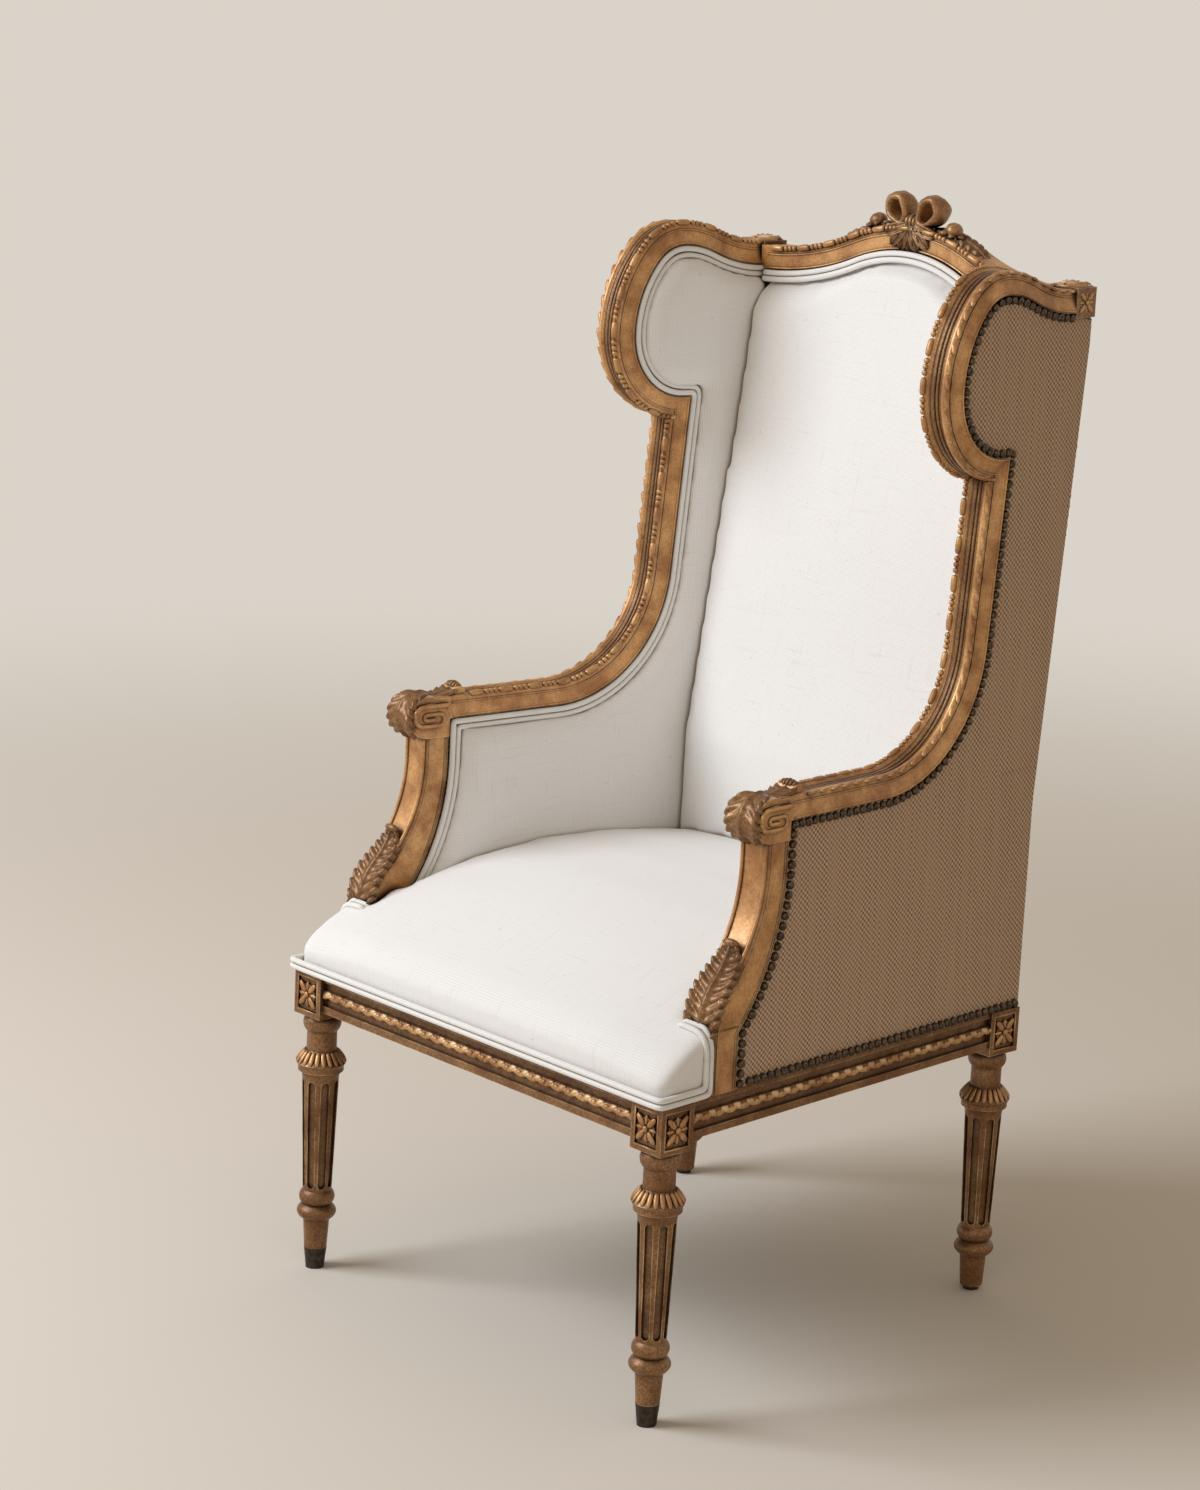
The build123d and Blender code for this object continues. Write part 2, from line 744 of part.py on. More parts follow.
# Ribbon bow with a fan of leaves below the knot and a leaf spray each side
bow_back = crest_centre_front + crest_thickness / 2 + bow_thickness / 2
crest_top = crest_centre_height + arris_radius
with BuildPart() as crest_bow:
    with BuildSketch(Plane.XZ.offset(-bow_back)):
        for side in (1, -1):
            loop_at = (side * bow_loop_length / 2, crest_top + bow_loop_height / 2)
            with Locations(Location((*loop_at, 0), (0, 0, side * bow_tilt))):
                Ellipse(bow_loop_length / 2, bow_loop_height / 2)
                Ellipse(
                    bow_loop_length / 2 - bow_ribbon,
                    bow_loop_height / 2 - bow_ribbon,
                    mode=Mode.SUBTRACT,
                )
    extrude(amount=bow_thickness)
    with BuildSketch(Plane.XZ.offset(-bow_back)):
        with Locations((0, crest_top + bow_knot_radius / 2)):
            Circle(bow_knot_radius)
    extrude(amount=bow_back - crest_centre_front + fan_thickness)
    with BuildSketch(Plane.XZ.offset(-crest_centre_front)):
        for lobe in range(fan_lobes):
            turn = fan_spread * (lobe / (fan_lobes - 1) - 0.5)
            reach = fan_lobe_length * 0.4
            lobe_at = (reach * sin(radians(turn)), crest_top - reach * cos(radians(turn)))
            with Locations(Location((*lobe_at, 0), (0, 0, turn))):
                Ellipse(fan_lobe_width / 2, fan_lobe_length / 2)
    extrude(amount=fan_thickness)
    spray_lift = sqrt(crest_upper_radius**2 - spray_at**2) - crest_upper_radius + crest_top
    spray_slope = degrees(atan2(spray_at, crest_upper_radius))
    with BuildSketch(Plane.XZ.offset(-bow_back)):
        for side in (1, -1):
            with Locations(Location((side * spray_at, spray_lift, 0), (0, 0, -side * spray_slope))):
                Ellipse(spray_length / 2, spray_height)
    extrude(amount=bow_thickness)
    add(crest_rail.part, mode=Mode.SUBTRACT)
keep(crest_bow, "crest_bow")

# Hidden rails that the covers are tacked to
with BuildPart() as tacking_rail:
    with BuildSketch():
        with BuildLine():
            Polyline(
                (post_base_back, tacking_rail_base),
                (stile_front, tacking_rail_base),
                (stile_front, tacking_rail_base + tacking_rail_height),
                (post_base_back, tacking_rail_base + tacking_rail_height),
                close=True,
            )
        make_face()
    extrude(amount=rebate_half_width / 2, both=True)
    add(arm_post.part, mode=Mode.SUBTRACT)
keep_pair(tacking_rail, "tacking_rail", flat=True)

stile_front_y = side_plane.from_local_coords(Vector(stile_front, 0, -rebate_half_width)).Y
with BuildPart() as lower_back_rail:
    with Locations((0, stile_front_y + pad_gap, back_rail_base)):
        Box(
            rear_leg_spacing,
            back_rail_depth,
            tacking_rail_height,
            align=(Align.CENTER, Align.MIN, Align.MIN),
        )
    split(bisect_by=side_wall(-rebate_half_width), keep=Keep.BOTTOM)
    split(bisect_by=Plane.YZ, keep=Keep.TOP)
    mirror(about=Plane.YZ)
keep(lower_back_rail, "lower_back_rail")


# Corner braces
brace_foot = rail_bottom + brace_margin
with BuildPart() as corner_braces:
    with BuildSketch(Plane.XY.offset(brace_foot)):
        with BuildLine():
            Polyline(
                (front_leg_spacing / 2 - half_block - brace_margin, front_inner),
                (front_leg_spacing / 2 - half_block - corner_brace_leg, front_inner),
                plan(half_block + corner_brace_leg, side_inner),
                plan(half_block + brace_margin, side_inner),
                (front_leg_spacing / 2 - half_block - brace_margin, front_face + brace_margin),
                close=True,
            )
        make_face()
        with BuildLine():
            Polyline(
                (rear_leg_spacing / 2 - half_block - brace_margin, rear_inner),
                (rear_leg_spacing / 2 - half_block - corner_brace_leg, rear_inner),
                plan(side_length - half_block - corner_brace_leg, side_inner),
                plan(side_length - half_block - brace_margin, side_inner),
                (rear_leg_spacing / 2 - half_block - brace_margin, rear_face - brace_margin),
                close=True,
            )
        make_face()
    extrude(amount=rail_height - 2 * brace_margin)
    mirror(about=Plane.YZ)
keep(corner_braces, "corner_braces")


# Covers and pads of the side frames
def rake_share(height):
    return min(1, max(0, (height - stile_kick_height) / (rake_top - stile_kick_height)))


def wing_cover(inset, height_out, stile_line, low):
    front_gap = inset - show_depth
    with BuildSketch(Plane.XY.offset(height_out)) as cover:
        with BuildLine():
            tail = wing_line(post_top_back + front_gap, inset)
            head = min(corner_foot, (tail @ 1).Y)
            if head < (tail @ 1).Y:
                Line(tail @ 1, (corner_front, head))
            Polyline(
                (corner_front, head),
                (stile_line + stile_rake, head),
                (stile_line + stile_rake, rake_top),
                (stile_line, stile_kick_height),
                (stile_line, low),
                (post_base_back + front_gap, low),
                (post_base_back + front_gap, post_base_top),
            )
            ThreePointArc(
                (post_base_back + front_gap, post_base_top),
                (post_back(post_curve_mid) + front_gap, post_curve_mid),
                (post_top_back + front_gap, post_curve_top),
            )
            post_edge = post_top_back + front_gap
            Line((post_edge, post_curve_top), (post_edge, arm_height - inset))
        make_face()
    return cover.sketch


cover_inset = show_depth + pad_gap
cover_low = rail_top + pad_gap
inside_line = stile_front - side_pad_back_gap
welt_out = -rebate_half_width - pad_gap
with BuildPart() as side_welt:
    extrude(wing_cover(cover_inset, welt_out, inside_line, cover_low), amount=-welt_height)
    extrude(
        wing_cover(cover_inset + welt_width, welt_out, inside_line, cover_low),
        amount=-welt_height,
        mode=Mode.SUBTRACT,
    )
    add(crest_rail.part.moved(side_plane.location.inverse()), mode=Mode.SUBTRACT)
keep_pair(side_welt, "side_welt", flat=True)

pad_inset = cover_inset + welt_width + pad_gap
pad_face = welt_out - side_pad_thickness
with BuildPart() as side_pad:
    loft(
        [
            wing_cover(pad_inset, welt_out, inside_line, cover_low),
            wing_cover(pad_inset, pad_face + side_pad_crown, inside_line, cover_low),
            wing_cover(pad_inset + side_pad_shoulder, pad_face, inside_line, cover_low),
        ],
        ruled=True,
    )
    add(crest_rail.part.moved(side_plane.location.inverse()), mode=Mode.SUBTRACT)
keep_pair(side_pad, "side_pad", flat=True)

cover_out = rebate_half_width + pad_gap
outside_line = stile_back - pad_gap
with BuildPart() as outside_panel:
    extrude(wing_cover(cover_inset, cover_out, outside_line, cover_low), amount=cloth_thickness)
keep_pair(outside_panel, "outside_panel", flat=True)

nail_out = cover_out + cloth_thickness
with BuildPart() as nail_strip:
    extrude(wing_cover(cover_inset, nail_out, outside_line, cover_low), amount=nail_strip_height)
    extrude(
        wing_cover(cover_inset + nail_strip_width, nail_out, outside_line, cover_low + nail_strip_width),
        amount=nail_strip_height,
        mode=Mode.SUBTRACT,
    )
keep_pair(nail_strip, "nail_strip", flat=True)

# Seat: a crowned pad on the rails
seat_front = -half_depth - half_block + seat_setback
seat_half_width = front_leg_spacing / 2 + half_block
inside_wall = pad_face - pad_gap
seat_end = plan(stile_front - pad_gap, inside_wall)[1]
seat_foot = rail_top + pad_gap


def seat_slice(y, shoulder, crown):
    with BuildSketch(Plane.XZ.offset(-y)) as slice_of_seat:
        with BuildLine():
            Polyline(
                (-seat_half_width, seat_foot + shoulder),
                (-seat_half_width, seat_foot),
                (seat_half_width, seat_foot),
                (seat_half_width, seat_foot + shoulder),
            )
            ThreePointArc(
                (seat_half_width, seat_foot + shoulder),
                (0, seat_foot + crown),
                (-seat_half_width, seat_foot + shoulder),
            )
        make_face()
    return slice_of_seat.sketch


seat_corner = plan(0, side_seat_out)[0]
post_wall = -post_half_width - pad_gap
with BuildPart() as seat_pad:
    slices = []
    for step in range(roll_steps + 1):
        turn = radians(90 * step / roll_steps)
        rise = seat_front_height * (0.5 + 0.5 * sin(turn))
        y = seat_front + seat_front_roll * (1 - cos(turn)) - seat_front_bulge * sin(2 * turn)
        slices.append(seat_slice(y, rise - seat_edge_drop, rise))
    run = seat_end - seat_front - seat_front_roll
    for step in range(1, crown_steps + 1):
        share = step / crown_steps
        level = seat_front_height + (seat_back_height - seat_front_height) * share
        swell = (seat_crown_height - (seat_front_height + seat_back_height) / 2) * sin(pi * share)
        y = seat_front + seat_front_roll + run * share
        slices.append(seat_slice(y, level + swell - seat_shoulder_drop * min(1, 3 * share), level + swell))
    loft(slices, ruled=True)
    with BuildSketch(Plane.XY.offset(rail_bottom)):
        with BuildLine():
            Polyline(
                (0, seat_front - seat_front_bulge),
                (seat_corner, seat_front - seat_front_bulge),
                plan(post_front - pad_gap, side_seat_out),
                plan(post_front - pad_gap, post_wall),
                plan(post_base_back, post_wall),
                plan(post_base_back, inside_wall),
                plan(stile_front - pad_gap, inside_wall),
                (0, seat_end),
                close=True,
            )
        make_face()
        mirror(about=Plane.YZ)
    extrude(amount=2 * seat_crown_height, mode=Mode.INTERSECT)
keep(seat_pad, "seat_pad")

# Double welt round the foot of the seat front
with BuildPart() as seat_welt:
    with BuildSketch(Plane.XY.offset(seat_foot)):
        with BuildLine():
            Polyline(
                (0, seat_front - seat_front_bulge - pad_gap),
                (seat_corner + pad_gap, seat_front - seat_front_bulge - pad_gap),
                plan(post_front - pad_gap, side_seat_out + pad_gap),
                plan(post_front - pad_gap, side_seat_out + pad_gap + welt_height),
                (seat_corner + pad_gap + welt_height, seat_front - seat_front_bulge - pad_gap - welt_height),
                (0, seat_front - seat_front_bulge - pad_gap - welt_height),
                close=True,
            )
        make_face()
        mirror(about=Plane.YZ)
    extrude(amount=welt_width)
keep(seat_welt, "seat_welt")

# Dust cover under the rails
with BuildPart() as dust_cover:
    with BuildSketch(Plane.XY.offset(rail_bottom - lining_thickness)):
        with BuildLine():
            Polyline(
                (0, front_inner - rail_thickness / 2),
                (front_leg_spacing / 2 - half_block - pad_gap, front_inner - rail_thickness / 2),
                (front_leg_spacing / 2 - half_block - pad_gap, front_face + pad_gap),
                plan(half_block + pad_gap + joint_gap, side_inner + rail_thickness / 2),
                plan(side_length - half_block - pad_gap - joint_gap, side_inner + rail_thickness / 2),
                (rear_leg_spacing / 2 - half_block - pad_gap, rear_face - pad_gap),
                (rear_leg_spacing / 2 - half_block - pad_gap, rear_inner + rail_thickness / 2),
                (0, rear_inner + rail_thickness / 2),
                close=True,
            )
        make_face()
        mirror(about=Plane.YZ)
    extrude(amount=lining_thickness)
keep(dust_cover, "dust_cover")


# Back: a crowned pad between the wings and the outside cover
def back_arc(height, ahead, out, swell):
    share = rake_share(height)
    x, y = plan(stile_front + stile_rake * share - ahead, out)
    bow = crest_plan_bow * share + joint_gap
    return ThreePointArc((x, y), (0, y + bow - swell), (-x, y))


def back_slice(height, ahead, thickness, out, swell=0):
    with BuildSketch(Plane.XY.offset(height)) as slice_of_back:
        with BuildLine():
            rear = back_arc(height, ahead, out, 0)
            front = back_arc(height, ahead + thickness, out, swell)
            Line(rear @ 0, front @ 0)
            Line(rear @ 1, front @ 1)
        make_face()
    return slice_of_back.sketch


back_heights = (stile_kick_height, rake_top, crest_centre_height)
seat_rim = rail_top + seat_front_height
with BuildPart() as back_pad:
    loft(
        [
            back_slice(seat_rim, pad_gap, back_pad_thickness, inside_wall, back_pad_crown),
            back_slice(stile_kick_height, pad_gap, back_pad_thickness, inside_wall, back_pad_crown),
            back_slice(rake_top, pad_gap, back_pad_thickness - back_pad_taper, inside_wall),
            back_slice(crest_centre_height, pad_gap, back_pad_lip, inside_wall),
        ],
        ruled=True,
    )
    extrude(under_crest(cover_inset), amount=crest_front, mode=Mode.INTERSECT)
    add(crest_rail.part, mode=Mode.SUBTRACT)
    add(seat_pad.part, mode=Mode.SUBTRACT)
keep(back_pad, "back_pad")

with BuildPart() as outside_back:
    loft(
        [
            back_slice(height, -stile_depth - cloth_thickness, cloth_thickness, rebate_half_width)
            for height in (cover_low, *back_heights)
        ],
        ruled=True,
    )
    extrude(under_crest(back_cover_drop), amount=crest_front, mode=Mode.INTERSECT)
keep(outside_back, "outside_back")

# Leaned onto its four feet, with the origin on the floor at the middle of the whole
to_floor = (
    Location((0, -half_depth, 0))
    * Location((0, 0, 0), (-lean, 0, 0))
    * Location((0, half_depth, 0))
)
extent = Compound([piece.moved(to_floor) for piece in pieces]).bounding_box()
to_middle = Location((0, -extent.center().Y, -extent.min.Z))
os.makedirs("parts", exist_ok=True)
for piece in pieces:
    export_step(piece.moved(to_middle * to_floor), f"parts/{piece.label}.step")
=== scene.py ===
import bisect
import json
import random
from math import atan2, ceil, copysign, cos, pi, radians, sin, sqrt, tan

import bpy
from mathutils import Matrix, Vector


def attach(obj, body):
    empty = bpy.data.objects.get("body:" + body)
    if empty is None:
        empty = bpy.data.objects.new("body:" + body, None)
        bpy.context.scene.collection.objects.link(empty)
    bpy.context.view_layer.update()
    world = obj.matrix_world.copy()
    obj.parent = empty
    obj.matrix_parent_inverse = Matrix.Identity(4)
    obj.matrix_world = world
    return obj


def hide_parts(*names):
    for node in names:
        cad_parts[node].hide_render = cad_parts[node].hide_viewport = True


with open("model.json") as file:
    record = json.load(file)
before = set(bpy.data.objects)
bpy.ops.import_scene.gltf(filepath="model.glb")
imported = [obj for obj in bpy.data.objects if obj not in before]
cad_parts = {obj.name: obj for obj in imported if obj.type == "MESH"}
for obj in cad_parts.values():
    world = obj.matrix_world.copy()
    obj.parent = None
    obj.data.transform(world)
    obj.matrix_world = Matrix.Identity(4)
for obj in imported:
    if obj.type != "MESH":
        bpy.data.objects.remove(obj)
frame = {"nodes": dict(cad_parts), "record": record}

scene = bpy.context.scene
nodes = frame["nodes"]
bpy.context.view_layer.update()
print("frame loaded", len(nodes), "nodes")

# sizes of the solids in mm, drawn square to the seat, that the trim follows
chair = {
    "frontSpacing": 531.0, "rearSpacing": 453.0, "depth": 513.0, "drop": 16.4, "sideOut": 2.6, "shift": -47.949,
    "railTop": 335.0, "block": 43.2, "blockHeight": 48.4, "show": 22.5,
}
wing = {
    "armHeight": 621.5, "bendStart": 284.956, "bendRadius": 127.0, "lean": 4.8, "notchHeight": 909.0,
    "earFront": 344.98, "earLower": 94.0, "earUpper": 142.0, "upperTurn": 41.0, "earTop": 68.0,
    "earBack": 125.0, "backTurn": 22.0, "earTail": 150.0,
    "cornerFront": 544.08, "cornerFoot": 1067.511,
}
stile = {"back": 536.1, "rake": 40.0, "rakeFoot": 560.0, "rakeTop": 1039.511}
halfDepth = chair["depth"] / 2
leanBack = atan2(chair["drop"], chair["depth"])
taper = atan2((chair["frontSpacing"] - chair["rearSpacing"]) / 2, chair["depth"])
wingLean = radians(wing["lean"])
sideFoot = chair["frontSpacing"] / 2 + chair["sideOut"]


def onChair(x, y, z):  # mm square to the seat, to metres on the floor
    run = y + halfDepth
    back = run * cos(leanBack) + z * sin(leanBack) - halfDepth + chair["shift"]
    return Vector((x, back, z * cos(leanBack) - run * sin(leanBack))) / 1000


def fromFloor(place):  # metres on the floor, back to mm square to the seat
    seat = (place - onChair(0, 0, 0)) * 1000
    far, rise = cos(leanBack), sin(leanBack)
    return seat.x, seat.y * far - seat.z * rise, seat.y * rise + seat.z * far


def onSide(side, run, height, out):  # flat side frame: back from the front leg, up, outwards
    x = sideFoot - run * sin(taper) + out * cos(taper)
    return onChair(side * x, run * cos(taper) + out * sin(taper) - halfDepth, height)


def outOf(side):  # unit vector out of a side frame
    return (onSide(side, 0, 0, 1) - onSide(side, 0, 0, 0)).normalized()


def onBoth(build):  # left side first
    for side, label in ((-1, "left"), (1, "right")):
        build(side, label)


seatUp = onChair(0, 0, 1) - onChair(0, 0, 0)
seatAcross = onChair(1, 0, 0) - onChair(0, 0, 0)
seatAhead = onChair(0, -1, 0) - onChair(0, 0, 0)


def newObject(name, data):  # object in the scene's own collection
    item = bpy.data.objects.new(name, data)
    scene.collection.objects.link(item)
    return item


# camera where the photograph was taken
view = {"yaw": 47.26, "pitch": 13.12, "roll": 2.76, "focal": 3900.0, "at": (2858.20, -2758.65, 1525.46)}
film = {"height": 1490, "sensor": 36.0}


def setCamera():
    yaw, pitch, roll = (radians(view[key]) for key in ("yaw", "pitch", "roll"))
    tilt = Matrix.Rotation(-leanBack, 3, "X")
    ahead = Vector((-sin(yaw) * cos(pitch), cos(yaw) * cos(pitch), -sin(pitch)))
    right = Vector((cos(yaw), sin(yaw), 0))
    up = right.cross(ahead)
    levelRight = tilt @ (right * cos(roll) + up * sin(roll))
    levelUp = tilt @ (up * cos(roll) - right * sin(roll))
    lens = bpy.data.cameras.new("photoView")
    lens.sensor_fit = "VERTICAL"
    lens.sensor_height = film["sensor"]
    lens.lens = film["sensor"] * view["focal"] / film["height"]
    camera = newObject("photoView", lens)
    turn = Matrix((levelRight, levelUp, -(tilt @ ahead))).transposed().to_4x4()
    camera.matrix_world = Matrix.Translation(onChair(*view["at"])) @ turn
    scene.camera = camera


setCamera()
print("camera set")


# materials
def paint(code):  # sRGB hex to linear colour
    parts = [int(code[i:i + 2], 16) / 255 for i in (1, 3, 5)]
    return tuple(c / 12.92 if c <= 0.04045 else ((c + 0.055) / 1.055) ** 2.4 for c in parts) + (1.0,)


def feed(tree, item, feeds):  # values, hex colours, sockets, or nodes by their first output
    for socket, value in feeds.items():
        if isinstance(value, str):
            value = paint(value)
        elif isinstance(value, bpy.types.Node):
            value = value.outputs[0]
        if isinstance(value, bpy.types.NodeSocket):
            tree.links.new(value, item.inputs[socket])
        else:
            item.inputs[socket].default_value = value


def addNode(tree, kind, feeds=None, **settings):  # one node with its settings and what feeds it
    item = tree.nodes.new("ShaderNode" + kind)
    for name, value in settings.items():
        setattr(item, name, value)
    feed(tree, item, feeds or {})
    return item


def newFinish(name):
    finish = bpy.data.materials.new(name)
    finish.use_nodes = True
    tree = finish.node_tree
    return finish, tree, tree.nodes["Principled BSDF"]


gilt = {
    "gold": "#e0ab70", "thin": "#ae7a4a", "bole": "#553418", "paintedHighlight": "#f2d6aa", "hollowDirtAndShade": "#180c04",
    "mottle": 34.0, "streak": 2.4, "grain": 1.6, "edge": 1.3, "cranny": 8.0, "rough": 0.36, "metal": 0.35,
}


def giltWood(name, worn, bright):  # old gilding worn thin over brown bole: warm sheen, painted highlights on the arrises, and hollows darkened by dirt and painted shade
    finish, tree, skin = newFinish(name)
    place = addNode(tree, "TexCoord").outputs["Object"]
    mottle = addNode(tree, "TexNoise", {
        "Vector": place, "Scale": 1000 / gilt["mottle"], "Detail": 5.0, "Roughness": 0.6,
    })
    streak = addNode(tree, "TexNoise", {"Vector": place, "Scale": 1000 / gilt["streak"], "Detail": 3.0})
    patch = addNode(tree, "MapRange", {"Value": mottle, "From Min": 0.38, "From Max": 0.62})
    body = addNode(tree, "Mix", {0: patch, 6: gilt["thin"], 7: gilt["gold"]}, data_type="RGBA").outputs[2]
    lost = addNode(tree, "MapRange", {
        "Value": streak, "From Min": 0.34, "From Max": 0.62, "To Min": worn + 0.16, "To Max": worn - 0.12,
    })
    body = addNode(tree, "Mix", {0: lost, 6: body, 7: gilt["bole"]}, data_type="RGBA").outputs[2]
    # dirt and painted shade: the colour darkens towards near black in hollows that the occlusion finds within the
    # cranny distance
    hollow = addNode(tree, "AmbientOcclusion", {"Distance": gilt["cranny"] / 1000}, samples=6)
    outOfHollow = addNode(tree, "MapRange", {"Value": hollow.outputs["AO"], "From Min": 0.42, "From Max": 0.94})
    body = addNode(tree, "Mix", {0: outOfHollow, 6: gilt["hollowDirtAndShade"], 7: body}, data_type="RGBA").outputs[2]
    # painted highlight: pale gold laid on sharp arrises where the short inside occlusion finds an edge, patchy with the
    # mottle
    near = {"Distance": gilt["edge"] / 1000}
    arris = addNode(tree, "AmbientOcclusion", near, samples=6, inside=True, only_local=True)
    ridge = addNode(tree, "MapRange", {
        "Value": arris.outputs["AO"], "From Min": 0.85, "From Max": 0.4, "To Max": bright,
    })
    edgeHighlight = addNode(tree, "Math", {0: ridge, 1: patch}, operation="MULTIPLY")
    body = addNode(tree, "Mix", {0: edgeHighlight, 6: body, 7: gilt["paintedHighlight"]}, data_type="RGBA").outputs[2]
    rough = addNode(tree, "MapRange", {
        "Value": mottle, "To Min": gilt["rough"] + 0.16, "To Max": gilt["rough"] - 0.08,
    })
    grain = addNode(tree, "TexNoise", {"Vector": place, "Scale": 1000 / gilt["grain"] / 4, "Detail": 3.0})
    lift = addNode(tree, "Bump", {"Height": grain, "Strength": 0.2, "Distance": 0.001})
    feed(tree, skin, {"Base Color": body, "Metallic": gilt["metal"], "Roughness": rough, "Normal": lift})
    return finish


linen = {
    "cloth": "#f0f0f0", "slub": "#dcd9d3", "fleck": "#cbbfab", "paintedCreaseShade": "#b3a58f",
    "tuck": 6.0, "thread": 2.2, "slubLength": 26.0, "fleckScale": 240.0, "rough": 0.94,
}


def slubLinen():  # plain-woven bleached linen: matt, off-white, with thicker slubs, a few dark flecks and painted shade in its creases
    finish, tree, skin = newFinish("slubLinenPlainWeave")
    place = addNode(tree, "TexCoord").outputs["Object"]
    face = addNode(tree, "SeparateXYZ", {0: addNode(tree, "NewGeometry").outputs["Normal"]})
    weave = None
    for axis in range(3):  # threads drawn about four times too coarse, so that they show
        thin = tuple(1.0 if axis == i else 0.06 for i in range(3))
        stretch = addNode(tree, "VectorMath", {0: place, 1: thin}, operation="MULTIPLY")
        scale = pi / 10 / (linen["thread"] / 1000)
        thread = {"Vector": place, "Scale": scale, "Distortion": 0.5, "Detail Scale": 0.3}
        band = addNode(tree, "TexWave", thread, bands_direction="XYZ"[axis])
        flat = addNode(tree, "Math", {0: face.outputs[axis], 1: face.outputs[axis]}, operation="MULTIPLY")
        share = addNode(tree, "Math", {0: 1.0, 1: flat}, operation="SUBTRACT")
        part = addNode(tree, "Math", {0: band.outputs["Fac"], 1: share}, operation="MULTIPLY")
        slub = addNode(tree, "TexNoise", {
            "Vector": stretch, "Scale": 1000 / linen["slubLength"] * 9, "Detail": 2.0,
        })
        thick = addNode(tree, "MapRange", {"Value": slub, "From Min": 0.62, "From Max": 0.86})
        thicker = {0: thick, 1: share, 2: part}
        part = addNode(tree, "Math", thicker, operation="MULTIPLY_ADD")
        weave = part if weave is None else addNode(tree, "Math", {0: weave, 1: part})
    tone = addNode(tree, "MapRange", {"Value": weave, "From Min": 0.4, "From Max": 2.4})
    body = addNode(tree, "Mix", {0: tone, 6: linen["cloth"], 7: linen["slub"]}, data_type="RGBA").outputs[2]
    speck = addNode(tree, "TexNoise", {"Vector": place, "Scale": linen["fleckScale"], "Detail": 1.0})
    few = addNode(tree, "MapRange", {"Value": speck, "From Min": 0.73, "From Max": 0.8, "To Max": 0.5})
    body = addNode(tree, "Mix", {0: few, 6: body, 7: linen["fleck"]}, data_type="RGBA").outputs[2]
    # painted shade: the linen darkens where the occlusion finds creases and tucks between pads and cords
    tuck = addNode(tree, "AmbientOcclusion", {"Distance": linen["tuck"] / 1000}, samples=6)
    outOfHollow = addNode(tree, "MapRange", {"Value": tuck.outputs["AO"], "From Min": 0.1, "From Max": 0.72})
    body = addNode(tree, "Mix", {0: outOfHollow, 6: linen["paintedCreaseShade"], 7: body}, data_type="RGBA").outputs[2]
    lift = addNode(tree, "Bump", {"Height": weave, "Strength": 0.12, "Distance": 0.0005})
    feed(tree, skin, {
        "Base Color": body, "Roughness": linen["rough"], "Specular IOR Level": 0.15, "Sheen Weight": 0.05, "Normal": lift,
    })
    return finish


# diamonds of 4 mm drawn at 6, so that they show
hopsack = {"light": "#dcc1a6", "dark": "#7c624d", "streak": "#bfa189", "pitch": 6.0, "band": 18.0, "rough": 0.88}


def diamondHopsack(name, across):  # coarse jute and cotton hopsack: small tan diamonds over dark gaps, streaked upright
    finish, tree, skin = newFinish(name)
    place = addNode(tree, "TexCoord").outputs["Object"]
    axes = addNode(tree, "SeparateXYZ", {0: place})
    waves = []
    for axis in ("Z", across):
        cycles = {0: axes.outputs[axis], 1: 2 * pi * 1000 / hopsack["pitch"]}
        turn = addNode(tree, "Math", cycles, operation="MULTIPLY")
        waves.append(addNode(tree, "Math", {0: turn}, operation="SINE"))
    weave = addNode(tree, "Math", {0: waves[0], 1: waves[1]}, operation="MULTIPLY")
    lump = addNode(tree, "MapRange", {"Value": weave, "From Min": -0.7, "From Max": 0.8})
    body = addNode(tree, "Mix", {0: lump, 6: hopsack["dark"], 7: hopsack["light"]}, data_type="RGBA").outputs[2]
    long = addNode(tree, "VectorMath", {0: place, 1: (1.0, 1.0, 0.03)}, operation="MULTIPLY")
    streak = addNode(tree, "TexNoise", {"Vector": long, "Scale": 1000 / hopsack["band"] * 4, "Detail": 3.0})
    share = addNode(tree, "MapRange", {"Value": streak, "From Min": 0.4, "From Max": 0.75, "To Max": 0.7})
    body = addNode(tree, "Mix", {0: share, 6: body, 7: hopsack["streak"]}, data_type="RGBA").outputs[2]
    lift = addNode(tree, "Bump", {"Height": lump, "Strength": 0.35, "Distance": 0.001})
    feed(tree, skin, {"Base Color": body, "Roughness": hopsack["rough"], "Specular IOR Level": 0.2, "Normal": lift})
    return finish


def plainFinish(name, low, high, size, rough, metal=0.0, bump=0.1):  # two close tones in a fine mottle of a real size
    finish, tree, skin = newFinish(name)
    place = addNode(tree, "TexCoord").outputs["Object"]
    grain = addNode(tree, "TexNoise", {"Vector": place, "Scale": 1000 / size, "Detail": 4.0})
    share = addNode(tree, "MapRange", {"Value": grain, "From Min": 0.35, "From Max": 0.65})
    body = addNode(tree, "Mix", {0: share, 6: low, 7: high}, data_type="RGBA").outputs[2]
    lift = addNode(tree, "Bump", {"Height": grain, "Strength": bump, "Distance": 0.001})
    feed(tree, skin, {"Base Color": body, "Roughness": rough, "Metallic": metal, "Normal": lift})
    return finish


